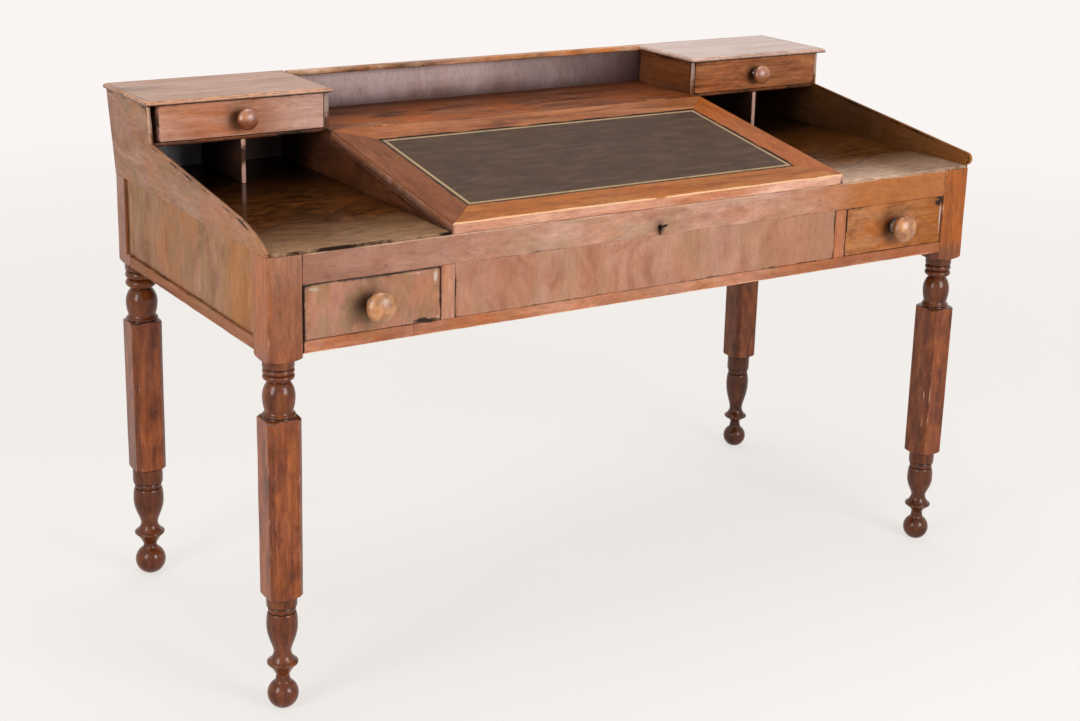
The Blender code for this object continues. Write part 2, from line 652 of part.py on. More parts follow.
def build_lock(brass, hole, lid):
    axis, tilt, top, front = lid
    y = (FRONT + RAIL_THICKNESS + JOINT, FRONT + RAIL_THICKNESS + JOINT + LOCK_DEPTH)
    z = (CASE_TOP - JOINT - LOCK_HEIGHT, CASE_TOP - JOINT)
    case = board("lock_case", (LOCK_RIGHT - LOCK_WIDTH / 2, LOCK_RIGHT + LOCK_WIDTH / 2), y, z, brass, arris=0)
    wide = STAPLE_WIDTH / 2 + STAPLE_PLAY
    pocket = box_cutter("staple_pocket", (LOCK_RIGHT - wide, LOCK_RIGHT + wide),
                        (y[0] + LOCK_WALL, y[1] - LOCK_WALL), (z[1] - STAPLE_LENGTH - STAPLE_PLAY, z[1] + STAPLE_PLAY))
    combine(case, pocket)
    combine(case, hole)
    # The link plate lies under the lid over the lock, with its staple down the pocket
    over = in_lid((y[0] + y[1]) / 2 + 0.0015, CASE_TOP)[0]
    under = top - LID - JOINT
    root = under - LINK_PLATE
    half = STAPLE_WIDTH / 2
    end = LINK_WIDTH / 2
    tip = root - STAPLE_LENGTH
    staple = [(-end, under), (-end, root), (-half, root), (-half, tip), (half, tip), (half, root), (end, root), (end, under)]
    staple = [(LOCK_RIGHT + x, z) for x, z in staple]
    add("link_plate", prism_mesh("link_plate", staple, "Y", over - STAPLE_THICKNESS / 2, over + STAPLE_THICKNESS / 2),
        brass, axis, tuple(axis.location), tilt)


def knob_profile(radius, reach):
    """A turned knob from its tenon's end to its domed face."""
    foot = 0.52 * radius
    neck = 0.40 * radius
    head = 0.62 * radius
    points = [(0, -TENON_LENGTH), (TENON_RADIUS, -TENON_LENGTH), (TENON_RADIUS, JOINT), (foot, JOINT), (foot, 0.003)]
    points += [(neck, 0.006), (neck + 0.001, reach - 2 * head)]
    points += arc((0, reach - head), (radius, head), -52, 68, 7)
    return points + [(0, reach)]


def build_drawer(name, x, z, y, thickness, length, knob, reach, wood, inside, knob_wood):
    """A drawer in the opening between two (low, high) pairs, its face at y."""
    centre = ((x[0] + x[1]) / 2, y, (z[0] + z[1]) / 2)
    axis = axis_empty(f"{name}_slide", centre)
    width = (x[0] + FRONT_GAP, x[1] - FRONT_GAP)
    front = board(f"{name}_front", width, (y, y + thickness), (z[0] + FRONT_GAP, z[1] - FRONT_GAP), wood, axis)
    # Sides and back, dovetailed into one frame; the bottom runs in their grooves
    near = y + thickness + JOINT
    far = y + length
    outer = (width[0] + JOINT, width[1] - JOINT)
    inner = (outer[0] + DRAWER_SIDE, outer[1] - DRAWER_SIDE)
    outline = [(outer[0], near), (inner[0], near), (inner[0], far - DRAWER_SIDE), (inner[1], far - DRAWER_SIDE),
               (inner[1], near), (outer[1], near), (outer[1], far), (outer[0], far)]
    foot = z[0] + RUN
    frame = add(f"{name}_frame", prism_mesh(f"{name}_frame", outline, "Z", foot, z[1] - SIDE_DROP), inside, axis)
    in_groove = (inner[0] - BOTTOM_GROOVE, inner[1] + BOTTOM_GROOVE)
    rise = (foot + BOTTOM_LIFT, foot + BOTTOM_LIFT + DRAWER_BOTTOM)
    end = far - DRAWER_SIDE + BOTTOM_GROOVE
    groove = box_cutter(f"{name}_groove", (in_groove[0] - JOINT, in_groove[1] + JOINT), (near - 0.01, end + JOINT),
                        (rise[0] - JOINT, rise[1] + JOINT))
    combine(frame, groove)
    board(f"{name}_bottom", in_groove, (near, end), rise, inside, axis, arris=0)
    forward = (math.pi / 2, 0, 0)
    add(f"{name}_knob", turned_mesh(f"{name}_knob", knob_profile(knob / 2, reach), 18), knob_wood, axis, centre, forward)
    bore = [(0, -TENON_LENGTH - JOINT), (TENON_RADIUS + JOINT, -TENON_LENGTH - JOINT),
            (TENON_RADIUS + JOINT, 0.01), (0, 0.01)]
    combine(front, cutter(f"{name}_bore", turned_mesh(f"{name}_bore", bore, 18), centre, forward))


def build_drawers(wood, inside, knob_wood):
    upper_length = GALLERY_FRONT - BACK_SPACE - BOX_FRONT
    for side, _, x in sides(MUNTIN_OUTSIDE, POST_INNER):
        build_drawer(f"lower_{side}", x, (RAIL_TOP, OPENING_TOP), FRONT, LOWER_FRONT, LOWER_LENGTH,
                     LOWER_KNOB, LOWER_REACH, wood, inside, knob_wood)
    for side, _, x in sides(INNER_OUTSIDE, END_INSIDE):
        build_drawer(f"upper_{side}", x, (DECK_TOP, BOX_TOP), BOX_FRONT, UPPER_FRONT, upper_length,
                     UPPER_KNOB, UPPER_REACH, wood, inside, knob_wood)


def build():
    for old in list(bpy.data.objects):
        bpy.data.objects.remove(old, do_unlink=True)
    mahogany = material("mahogany", (0.190, 0.062, 0.026), 0.38)
    secondary = material("secondary_wood", (0.230, 0.130, 0.065), 0.65)
    turned_wood = material("knob_wood", (0.300, 0.125, 0.050), 0.42)
    leather = material("leather", (0.090, 0.070, 0.052), 0.55)
    brass = material("brass", (0.420, 0.300, 0.120), 0.40, 1.0)
    build_legs(mahogany)
    hole = build_front(mahogany)
    build_case(mahogany, secondary)
    shelf = build_superstructure(mahogany, secondary)
    lid = build_lid(mahogany, leather, brass, shelf)
    build_lock(brass, hole, lid)
    build_drawers(mahogany, secondary, turned_wood)


build()
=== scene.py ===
"""Looks of a worn mahogany plantation desk on the frame packed from its CAD source.

The pieces come in the order in which the desk goes together. Lengths are in metres and colours are sRGB, 0 to 255.
"""

import bmesh
import bpy
import numpy as np
from mathutils import Matrix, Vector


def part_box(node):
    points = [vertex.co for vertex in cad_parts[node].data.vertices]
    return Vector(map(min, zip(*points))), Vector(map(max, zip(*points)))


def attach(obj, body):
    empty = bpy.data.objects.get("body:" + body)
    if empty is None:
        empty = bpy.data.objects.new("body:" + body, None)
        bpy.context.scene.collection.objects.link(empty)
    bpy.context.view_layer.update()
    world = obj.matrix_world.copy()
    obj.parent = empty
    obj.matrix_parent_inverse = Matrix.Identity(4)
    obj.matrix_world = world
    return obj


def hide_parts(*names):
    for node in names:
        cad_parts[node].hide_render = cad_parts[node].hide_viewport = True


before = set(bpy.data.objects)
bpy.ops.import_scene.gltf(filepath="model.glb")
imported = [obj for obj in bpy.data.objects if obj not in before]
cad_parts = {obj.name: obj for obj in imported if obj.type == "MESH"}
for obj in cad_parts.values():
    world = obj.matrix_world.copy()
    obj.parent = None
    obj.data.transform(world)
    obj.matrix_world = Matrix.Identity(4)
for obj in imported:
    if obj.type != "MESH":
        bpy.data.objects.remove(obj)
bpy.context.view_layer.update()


# Legs. Each is one stick of mahogany: ball, knop and vase turned at the foot, a chamfered square shaft, an egg and
# two beads turned under the case, and then the square corner post. They were turned by eye, so no two agree: the
# turned sizes below, radius before height, are the front left leg's, and LEGS says how the others depart from them.
POST = 0.058
CASE_BOTTOM = 0.606
CASE_TOP = 0.765
RAIL_TOP = 0.626
SHAFT_CHAMFER = 0.008
SHAFT_TAPER = 0.0025
POST_ARRIS = 0.0012
EGG_LEVEL = 0.534
PANEL_REBATE = (0.0117, 0.0100)
CORNER_SHARPNESS = 110.0
# How much the shaft's chamfer faces are darkened as painted shade.
CHAMFER_PAINTED_SHADE = 0.3
TURNED_SHADE = 0.46
BALL = 0.0255
FOOT_FLAT = 0.010
NECK = (0.0108, 0.0565)
KNOP = (0.0225, 0.079)
KNOP_RIM = 0.003
WAIST = (0.0143, 0.099)
VASE = (0.0255, 0.146)
LIP = 0.0218
LIP_RISE = 0.023
RING = 0.0226
RING_ENDS = (0.169, 0.1795)
COLLAR = (0.0251, 0.196)
SHOULDER = 0.014
SHAFT_TOP = 0.501
FILLET = 0.0262
EGG = 0.0261
EGG_FALL = 0.045
EGG_RISE = 0.0336
COVE = (0.0165, 0.5605)
BEAD_REACH = 0.0254
BEAD_PAIR = 0.0206
QUIRK = 0.002
POMMEL = 0.0105
LEGS = {
    "front_left": {"at": (-0.696, -0.2775), "warm": 0.0, "dark": 0.0, "girth": 1.0, "knop": 0.0, "vase": 0.0,
                   "low": 0.0, "high": 0.0, "egg": 0.0, "post": 0.0},
    "front_right": {"at": (0.696, -0.2775), "warm": 0.9, "dark": 0.16, "girth": 0.97, "knop": -0.0065,
                    "vase": -0.0175, "low": -0.0125, "high": -0.0135, "egg": -0.0125, "post": -0.009},
    "rear_left": {"at": (-0.696, 0.3145), "warm": 0.1, "dark": 0.06, "girth": 1.09, "knop": 0.002, "vase": 0.002,
                  "low": 0.013, "high": -0.0035, "egg": -0.002, "post": 0.010},
    "rear_right": {"at": (0.696, 0.3145), "warm": 0.5, "dark": 0.24, "girth": 0.96, "knop": -0.009, "vase": 0.0025,
                   "low": 0.017, "high": -0.0035, "egg": -0.002, "post": 0.010},
}
# The dark brown that the shade mark mixes in, mostly painted shade with some grime, and the near black that the wear
# mark mixes in below 0, dirt and painted shade in gaps and hollows.
SHADE_AND_GRIME_BROWN = (40, 17, 7)
DIRT_AND_SHADE_BLACK = (18, 9, 6)


def tone(red, green, blue):
    """Linear colour with alpha of an sRGB colour from 0 to 255."""
    share = np.array([red, green, blue]) / 255.0
    linear = np.where(share <= 0.04045, share / 12.92, ((share + 0.055) / 1.055) ** 2.4)
    return (*linear.tolist(), 1.0)


def feed(tree, node, inputs):
    """Gives each input of a node a value, or joins it to another node's output."""
    for key, value in inputs.items():
        if isinstance(value, bpy.types.NodeSocket):
            tree.links.new(value, node.inputs[key])
        else:
            node.inputs[key].default_value = value


def add(tree, kind, inputs=None, **settings):
    """A new node with its settings made and its inputs fed."""
    made = tree.nodes.new(kind)
    for key, value in settings.items():
        setattr(made, key, value)
    feed(tree, made, inputs or {})
    return made


def new_surface(name):
    """A new material, with its node tree, its shader and the place on the object that is being coloured."""
    material = bpy.data.materials.new(name)
    material.use_nodes = True
    tree = material.node_tree
    place = add(tree, "ShaderNodeTexCoord").outputs["Object"]
    return material, tree, tree.nodes["Principled BSDF"], place


def mark(tree, label):
    """What the piece's own attribute of that name says."""
    return add(tree, "ShaderNodeAttribute", attribute_name=label).outputs["Fac"]


def reckon(tree, way, *values):
    """The values, numbers or other nodes' outputs, under one sum that Blender knows by the name given as way."""
    return add(tree, "ShaderNodeMath", dict(enumerate(values)), operation=way).outputs[0]


def mix(tree, share, first, second):
    """Colour that goes from the first to the second as the share goes from 0 to 1."""
    return add(tree, "ShaderNodeMix", {0: share, 6: first, 7: second}, data_type="RGBA").outputs[2]


def spread(tree, value, low, high, to_low=0.0, to_high=1.0):
    """The value stretched from low and high to the two other ends, and held between them."""
    return add(tree, "ShaderNodeMapRange", {0: value, 1: low, 2: high, 3: to_low, 4: to_high}).outputs[0]


def layer(tree, colour, value, low, high, share, over):
    """The colour with another, given in sRGB, laid over it up to the share as the value goes from low to high."""
    return mix(tree, spread(tree, value, low, high, 0.0, share), colour, tone(*over))


def cloud(tree, place, scale, detail=3.0, rough=0.55, warp=0.0):
    """Noise of about 0.3 to 0.7 whose patches are 1/scale of a metre across."""
    return add(tree, "ShaderNodeTexNoise", {"Vector": place, "Scale": scale, "Detail": detail, "Roughness": rough,
                                            "Distortion": warp}).outputs[0]


def stretch(tree, place, grain, share, shift):
    """The place squeezed along the grain axis by the share, so that noise read there is drawn out, and shifted."""
    scale = [1.0, 1.0, 1.0]
    scale["XYZ".index(grain)] = share
    return add(tree, "ShaderNodeMapping", {"Vector": place, "Location": (shift, 0.37 * shift, -0.61 * shift),
                                           "Scale": scale}).outputs[0]


def wood(name, grain, deep, body, pale, stain, seed, bloom=(160, 128, 116), figure=26.0, run=0.14, flame=0.5,
         patch=0.6, haze=0.35, olive=0.4, blotch=1.0, streak=0.35, fleck=0.16, rough=(0.36, 0.52), gloss=0.15,
         coat=0.05, polish=0.14, wear_and_highlight=(206, 168, 142), fades=()):
    """Old polished wood: broad figure, long streaks and short pores along the grain axis, stained in soft patches.

    Stain, bloom and an olive cast of the body colour lie over the figure in patches of their own, finer as blotch
    grows, and flecks make all of it lighter and darker. Each fade (axis, start, end, colour, share) brings in a
    colour from one place to another; some are painted sheen or painted shade, as said where they are given. Of a
    piece's attributes, warm brings in the stain; shade darkens the wood, mostly as painted shade with some grime and
    tone; and age bares it above 0, as worn arrises and painted highlight lines, and blackens it below 0 in crumbs,
    as dirt and painted shade in gaps and hollows.
    """
    material, tree, shader, place = new_surface(name)

    def drawn(share, times, scale, detail, soft, warp=0.0):
        """Noise drawn out along the grain, from a place of its own."""
        return cloud(tree, stretch(tree, place, grain, share, times * seed), scale, detail, soft, warp)

    broad = drawn(run, 1, figure, 3.0, 0.6, flame)
    fine = drawn(0.035, 2, 190.0, 4.0, 0.68)
    pore = drawn(0.09, 3, 900.0, 2.0, 0.5)
    patchy = drawn(0.6, 5, 7.0 * blotch, 5.0, 0.6)
    hazy = drawn(0.5, 7, 13.0 * blotch, 4.0, 0.6)
    speck = drawn(0.5, 9, 85.0, 3.0, 0.7)
    mossy = drawn(0.4, 11, 19.0 * blotch, 4.0, 0.62)
    mottle = drawn(0.3, 13, 120.0, 4.0, 0.7)
    crumb = cloud(tree, place, 130.0, 4.0, 0.65)
    ramp = add(tree, "ShaderNodeValToRGB", {0: broad})
    dark_end, pale_end = ramp.color_ramp.elements
    dark_end.position, dark_end.color = 0.35, tone(*deep)
    pale_end.position, pale_end.color = 0.65, tone(*pale)
    ramp.color_ramp.elements.new(0.50).color = tone(*body)
    colour = layer(tree, ramp.outputs[0], patchy, 0.45, 0.60, patch, stain)
    colour = layer(tree, colour, hazy, 0.47, 0.62, haze, bloom)
    colour = layer(tree, colour, mossy, 0.47, 0.63, olive, np.array(body) * (0.88, 1.0, 0.92))
    split = add(tree, "ShaderNodeSeparateXYZ", {0: place})
    for axis, start, end, shade, share in fades:
        here = reckon(tree, "MULTIPLY_ADD", patchy, 0.8 * (end - start), split.outputs["XYZ".index(axis)])
        shift = 0.4 * (end - start)
        colour = layer(tree, colour, here, start + shift, end + shift, share, shade)
    colour = mix(tree, mark(tree, "warm"), colour, tone(*stain))
    colour = layer(tree, colour, fine, 0.44, 0.70, streak, deep)
    colour = layer(tree, colour, fine, 0.46, 0.30, 0.6 * streak, pale)
    colour = layer(tree, colour, pore, 0.57, 0.70, 0.4, 0.5 * np.array(deep))
    colour = layer(tree, colour, speck, 0.68, 0.78, 0.7, 0.4 * np.array(deep))
    depth = spread(tree, mottle, 0.3, 0.7, 1.0 - fleck, 1.0 + fleck)
    colour = add(tree, "ShaderNodeHueSaturation", {"Value": depth, "Color": colour}).outputs[0]
    # Painted shade, with some grime: the shade mark darkens the wood towards a dark brown.
    colour = mix(tree, mark(tree, "shade"), colour, tone(*SHADE_AND_GRIME_BROWN))
    crumbled = reckon(tree, "ADD", mark(tree, "wear_and_painted_light"), reckon(tree, "MULTIPLY_ADD", crumb, 1.4, -0.7))
    # Above 0 the wear mark brings in the bare colour: worn arrises, and painted highlight lines on some edges.
    colour = layer(tree, colour, crumbled, 0.30, 0.85, 0.75, wear_and_highlight)
    # Below 0 it blackens the wood in crumbs: dirt, and painted shade in gaps, grooves and hollows.
    colour = layer(tree, colour, crumbled, -0.25, -0.85, 0.95, DIRT_AND_SHADE_BLACK)
    relief = reckon(tree, "SUBTRACT", fine, pore)
    bump = add(tree, "ShaderNodeBump", {"Strength": 0.18, "Distance": 0.0004, "Height": relief}).outputs[0]
    feed(tree, shader, {"Base Color": colour, "Roughness": spread(tree, fine, 0.3, 0.7, *rough), "Normal": bump,
                        "Coat Weight": coat, "Coat Roughness": polish, "Specular IOR Level": gloss})
    return material


def grid_faces(rows, columns, first=0, loop=False):
    """Quads of a grid whose points are numbered row by row from first; a loop joins each row's end to its start."""
    index = first + np.arange(rows * columns).reshape(rows, columns)
    if loop:
        index = np.concatenate([index, index[:, :1]], axis=1)
    return np.stack([index[:-1, :-1], index[1:, :-1], index[1:, 1:], index[:-1, 1:]], axis=-1).reshape(-1, 4)


def ripple(a, b, seed, length):
    """Smooth unevenness, mostly within 1: eight sine waves of about that length in directions drawn from the seed."""
    draw = np.random.default_rng(seed)
    turn = draw.uniform(0, 2 * np.pi, 8)
    phase = draw.uniform(0, 2 * np.pi, 8)
    pace = 2 * np.pi / length * draw.uniform(0.55, 1.7, 8)
    a, b = np.broadcast_arrays(a, b)
    waves = np.sin(pace * (a[..., None] * np.cos(turn) + b[..., None] * np.sin(turn)) + phase)
    return waves.sum(axis=-1) / 2.8


def bell(offset, width):
    """A smooth hump, 1 where the offset is 0 and falling away on both sides over the width."""
    return np.exp(-((offset / width) ** 2))


def piece(name, points, faces, marks, body, slot, material, *nodes):
    """Points and faces as one smooth, welded piece on the body, in place of the nodes, with the marks it carries."""
    mesh = bpy.data.meshes.new(name)
    mesh.from_pydata(points.reshape(-1, 3).tolist(), [], faces.tolist())
    for label, values in marks.items():
        carried = mesh.attributes.new(label, "FLOAT", "POINT")
        carried.data.foreach_set("value", np.ravel(values).astype(np.float32))
    work = bmesh.new()
    work.from_mesh(mesh)
    bmesh.ops.remove_doubles(work, verts=work.verts, dist=2e-6)
    bmesh.ops.recalc_face_normals(work, faces=work.faces)
    work.to_mesh(mesh)
    work.free()
    mesh.polygons.foreach_set("use_smooth", np.ones(len(mesh.polygons), dtype=bool))
    mesh.materials.append(material)
    made = bpy.data.objects.new(name, mesh)
    bpy.context.collection.objects.link(made)
    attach(made, body)
    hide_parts(*nodes)
    return made


def arc(centre, size, start, end, count, wear_and_painted_light=0.0):
    """Points (radius, height, age) on an ellipse from the start to the end angle in degrees, 0 pointing outwards."""
    turn = np.radians(np.linspace(start, end, count))
    return np.stack([centre[0] + size[0] * np.cos(turn), centre[1] + size[1] * np.sin(turn), np.full(count, wear_and_painted_light)], -1)


def sweep(start, end, power, count, wear_and_painted_light=0.0):
    """Points (radius, height, age) up from start to end, the radius following the share of the height to a power."""
    share = np.linspace(0, 1, count)
    radius = start[0] + (end[0] - start[0]) * share ** power
    return np.stack([radius, start[1] + (end[1] - start[1]) * share, np.full(count, wear_and_painted_light)], -1)


def groove(radius, level, width=0.0016, sink=0.003):
    """Points (radius, height, age) of a turned groove, darkened in its hollow, that starts at the level."""
    return np.array([[radius, level, -0.5], [radius - sink, level + 0.35 * width, -1.2],
                     [radius - sink, level + 0.65 * width, -1.2], [radius, level + width, -0.5]])


def leg_profile(eye):
    """Rows (radius, height, age) of a leg's turning from the floor up; a radius past the stock leaves it square."""
    girth, clear = eye["girth"], 0.75 * POST
    ball = BALL * girth
    centre = np.sqrt(ball**2 - FOOT_FLAT**2)
    neck = (NECK[0] * girth, NECK[1])
    rim, knop = KNOP[0] * girth, KNOP[1] + eye["knop"]
    waist = (WAIST[0] * girth, WAIST[1] + eye["knop"])
    widest, vase = VASE[0] * girth, VASE[1] + eye["vase"]
    lip = LIP * girth
    ring = (RING_ENDS[0] + eye["vase"], RING_ENDS[1] + eye["vase"])
    ring_size = (RING * girth - lip + 0.001, (ring[1] - ring[0] - QUIRK) / 2)
    collar, shoulder = COLLAR[0] * girth, COLLAR[1] + eye["low"]
    fillet, top = FILLET * girth, SHAFT_TOP + eye["high"]
    round_egg, egg = EGG * girth, EGG_LEVEL + eye["egg"]
    hollow_end = (COVE[0] * girth, COVE[1] + eye["egg"])
    foot = CASE_BOTTOM + eye["post"]
    high = COVE[1] + BEAD_PAIR + eye["post"]
    low = hollow_end[1] + QUIRK
    reach, bead = BEAD_REACH * girth, (high - low) / 4
    share = np.linspace(0.02, 1, 20)
    swell = waist[0] + (widest - waist[0]) * np.sin(np.pi / 2 * share**0.75) ** 2
    belly = np.stack([swell, waist[1] + (vase - waist[1]) * share, np.zeros(20)], -1)
    flare = np.linspace(0, 1, 10)
    hollow = np.stack([waist[0] + (rim - waist[0]) * (1 - flare) ** 2,
                       knop + KNOP_RIM + (waist[1] - knop - KNOP_RIM) * flare, np.full(10, -0.15)], -1)
    ball_end = arc((0, centre), (ball, ball), 58, 58, 1)[0]
    egg_end = arc((0, egg), (round_egg, EGG_RISE), 47, 47, 1)[0]
    rows = [
        np.zeros((1, 3)),
        arc((0, centre), (ball, ball), -np.degrees(np.arcsin(centre / ball)), 58, 22),
        sweep(ball_end, neck, 0.6, 7, -0.35)[1:],
        sweep(neck, (rim, knop - KNOP_RIM), 1.25, 9, -0.1)[1:],
        arc((rim, knop), (KNOP_RIM, KNOP_RIM), -70, 80, 9, 0.25),
        hollow,
        belly,
        arc((lip, vase), (widest - lip, LIP_RISE), 4, 84, 12),
        groove(lip, ring[0] - 0.0008),
        arc((lip - 0.001, sum(ring) / 2), ring_size, -80, 80, 9),
        groove(collar - 0.0006, ring[1] + 0.0002),
        sweep((collar - 0.0004, ring[1] + 0.002), (collar, ring[1] + 0.005), 0.5, 4),
        sweep((collar, ring[1] + 0.006), (collar, shoulder), 1.0, 5),
        groove(collar, shoulder + 0.0002, 0.0018, 0.0022),
        arc((collar, shoulder + 0.002 + SHOULDER), (clear - collar, SHOULDER), -90, 0, 16),
        sweep((clear, shoulder + 0.020), (clear, top - 0.020), 1.0, 40),
        arc((collar, top - SHOULDER), (clear - collar, SHOULDER), 0, 90, 16),
        groove(fillet - 0.0008, top + 0.0002, 0.0018, 0.0030),
        arc((fillet - 0.0022, top + 0.00425), (0.0022, 0.00225), -80, 80, 7, 0.1),
        arc((0, egg), (round_egg, EGG_FALL), -31, 0, 10),
        arc((0, egg), (round_egg, EGG_RISE), 4, 47, 12),
        sweep(egg_end, hollow_end, 0.55, 6, -0.5)[1:],
        arc((reach - bead, low + bead), (bead, bead), -88, 82, 11),
        groove(reach - bead, low + 2 * bead - 0.0005, 0.0012, 0.0026),
        arc((reach - bead, high - bead), (bead, bead), -82, 82, 11),
        groove(reach - 0.0010, high + 0.0001, 0.0012, 0.0024),
        sweep((reach, high + QUIRK), (reach, foot - 0.011), 1.0, 4),
        arc((reach, foot), (clear - reach, POMMEL), -90, 0, 16),
        sweep((clear, foot + 0.002), (clear, RAIL_TOP - 0.0001), 1.0, 3),
        sweep((clear, RAIL_TOP + 0.0001), (clear, CASE_TOP - 0.0012), 1.0, 14),
        np.array([[clear - 0.0045, CASE_TOP - 0.0004, 0.0], [0.026, CASE_TOP, 0.0], [0.0, CASE_TOP, 0.0]]),
    ]
    return np.concatenate(rows)


def leg_surface(eye, seed):
    """A leg at angle and height: the least of the turned profile and the stock's flats, with its edges eased.

    Each flat lies at its distance over the cosine of the angle from its normal; a rear post also loses the corner
    rebated for the side panel.
    """
    quarter = np.array([0, 5, 10, 14, 18, 18.8, 19.3, 24, 29, 33, 35, 35.9, 36.8, 39, 40.5, 42, 44, 45, 46, 48, 49.5,
                        51, 53.2, 54.1, 55, 57, 61, 66, 67.7, 68.3, 73, 79, 85])
    angle = np.radians((quarter + 90.0 * np.arange(4)[:, None]).ravel())
    rows = leg_profile(eye)
    radius, height, wear_and_painted_light = rows[:, :1], rows[:, 1:2], rows[:, 2:]
    half = POST / 2 - SHAFT_TAPER / 2 * np.clip((EGG_LEVEL - height) / (EGG_LEVEL + POST), 0, 1)
    bevel = np.where(height < EGG_LEVEL, SHAFT_CHAMFER, POST_ARRIS)
    normal = np.arange(8) * np.pi / 4
    away = np.where(np.arange(8) % 2 == 0, half, (2 * half - bevel) / np.sqrt(2))
    flats = away[:, None, :] / np.maximum(np.cos(angle[:, None] - normal), 1e-3)
    every = np.concatenate([flats, np.broadcast_to(radius[:, :, None], (len(rows), len(angle), 1))], axis=-1)
    nearest = every.min(axis=-1)
    least = np.maximum(nearest, 1e-9)
    beyond = np.maximum(every / least[..., None], 1.0)
    reach = least * (beyond**-CORNER_SHARPNESS).sum(axis=-1) ** (-1 / CORNER_SHARPNESS)
    if eye["at"][1] > 0:
        outward = np.sign(eye["at"][0]) * np.cos(angle)
        forward = -np.sin(angle)
        inside = (outward > 0) & (forward > 0)
        limit = np.maximum(PANEL_REBATE[0] / np.maximum(outward, 1e-6), PANEL_REBATE[1] / np.maximum(forward, 1e-6))
        cut = inside & (height > RAIL_TOP)
        reach = np.where(cut, np.minimum(reach, limit), reach)
    reach = np.minimum(reach, radius)
    reach = reach * (1 + 0.004 * ripple(height, angle[None, :] * 0.02, seed, 0.12) * (radius > 0.001))
    reach = np.minimum(reach, nearest)
    points = np.stack([eye["at"][0] + reach * np.cos(angle), eye["at"][1] + reach * np.sin(angle),
                       np.broadcast_to(height, reach.shape)], axis=-1)
    arris = bell(np.sort(flats, axis=-1)[..., 1] / least - 1, 0.02) * (radius > least * 1.01)
    rubbed = 0.55 * arris * (0.3 + 0.7 * ripple(points[..., 2], points[..., 0] + points[..., 1], seed + 7, 0.05))
    turned = np.clip((least * 1.02 - radius) / 0.002 + 1, 0, 1) * (height < CASE_BOTTOM + 0.01)
    # The shaft's chamfer faces are darkened: painted shade that sets them off from the flats.
    shade_and_grime = CHAMFER_PAINTED_SHADE * (flats[..., 1::2].min(axis=-1) <= nearest) * (height < EGG_LEVEL)
    post = np.clip((height - CASE_BOTTOM) / 0.02, 0, 1)
    warm = post * np.where(eye["warm"] > 0, eye["warm"], 0.9 * np.clip(-3 * np.cos(angle) - 1.6, 0, 1))
    shade = TURNED_SHADE * turned + shade_and_grime + eye["dark"] * (1 - 0.35 * post)
    marks = {"wear_and_painted_light": wear_and_painted_light + rubbed, "shade": np.clip(shade, 0, 1), "warm": warm}
    return points, grid_faces(len(rows), len(angle), loop=True), marks


leg_wood = wood("leg mahogany", "Z", (86, 38, 18), (132, 65, 34), (160, 90, 46), (166, 86, 14), 1.3,
                bloom=(142, 76, 48), figure=60.0, run=0.25, flame=0.4, patch=0.38, haze=0.5, olive=0.2, blotch=3.0,
                streak=0.5, fleck=0.26, rough=(0.28, 0.42), gloss=0.06, coat=0.48, polish=0.15,
                fades=(("Z", 0.57, 0.64, (140, 90, 62), 0.75), ("Z", 0.70, 0.76, (168, 118, 92), 0.6)))
for number, (corner, eye) in enumerate(LEGS.items()):
    points, faces, marks = leg_surface(eye, 11 + number)
    piece("leg_" + corner + "_turned", points, faces, marks, "carcass", "mahogany", leg_wood, "leg_" + corner)


# Case front: two rails tenoned into the posts, short muntins, and the fixed panel between the drawers. Mahogany
# boards, planed by hand, with eased arrises; the upper rail holds the lock, of which only the empty keyhole shows.
KEYHOLE = (0.003, 0.731)
KEY_ROUND = 0.0044
KEY_SLOT = (0.0026, 0.0135)
KEY_DEPTH = 0.012
CHIP_DEPTH = 0.0018
RAIL_SPLIT = -0.474
front_wood = wood("front mahogany", "X", (156, 106, 84), (178, 130, 107), (192, 148, 128), (178, 118, 86), 2.1,
                  bloom=(190, 154, 140), figure=22.0, run=0.5, flame=0.6, patch=0.5, haze=0.5, blotch=1.4,
                  streak=0.26,
                  fades=(("X", -0.25, -0.60, (138, 92, 73), 0.8), ("X", 0.28, 0.46, (160, 91, 32), 0.9)))
panel_wood = wood("centre panel mahogany", "Z", (150, 100, 76), (170, 121, 96), (182, 136, 112), (170, 108, 76), 3.7,
                  bloom=(174, 134, 118), figure=15.0, run=0.7, flame=1.0, patch=0.5, haze=0.5, streak=0.14,
                  fleck=0.10, fades=(("X", 0.08, 0.38, (156, 108, 80), 0.6),))
muntin_wood = wood("muntin mahogany", "Z", (146, 92, 68), (176, 120, 92), (196, 142, 114), (182, 108, 68), 3.1,
                   bloom=(190, 142, 122), patch=0.5, haze=0.5,
                   fades=(("X", 0.2, 0.4, (162, 90, 46), 0.7),))
rail_wood = wood("lower rail mahogany", "X", (130, 72, 43), (170, 107, 76), (198, 140, 110), (178, 94, 42), 2.9,
                 bloom=(186, 132, 110), patch=0.7, haze=0.5, blotch=1.5, streak=0.3,
                 wear_and_highlight=(226, 176, 140), fades=(("X", 0.2, 0.55, (138, 74, 34), 0.6),))


def corners(node):
    """Lowest and highest corner of a CAD node."""
    low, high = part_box(node)
    return np.array(low), np.array(high)


def edge_steps(low, high, arris, pitch):
    """Positions from low to high, crowded over the rounded arris at each end and opening out to the even pitch."""
    near = np.concatenate([arris * np.array([0, 0.13, 0.5, 1, 2]), 2 * arris + np.array([0.002, 0.006, 0.013])])
    near = near[near < 0.45 * (high - low)]
    count = max(int((high - low - 2 * near[-1]) / pitch), 1)
    middle = np.linspace(low + near[-1], high - near[-1], count + 1)[1:-1]
    return np.concatenate([low + near, middle, (high - near)[::-1]])


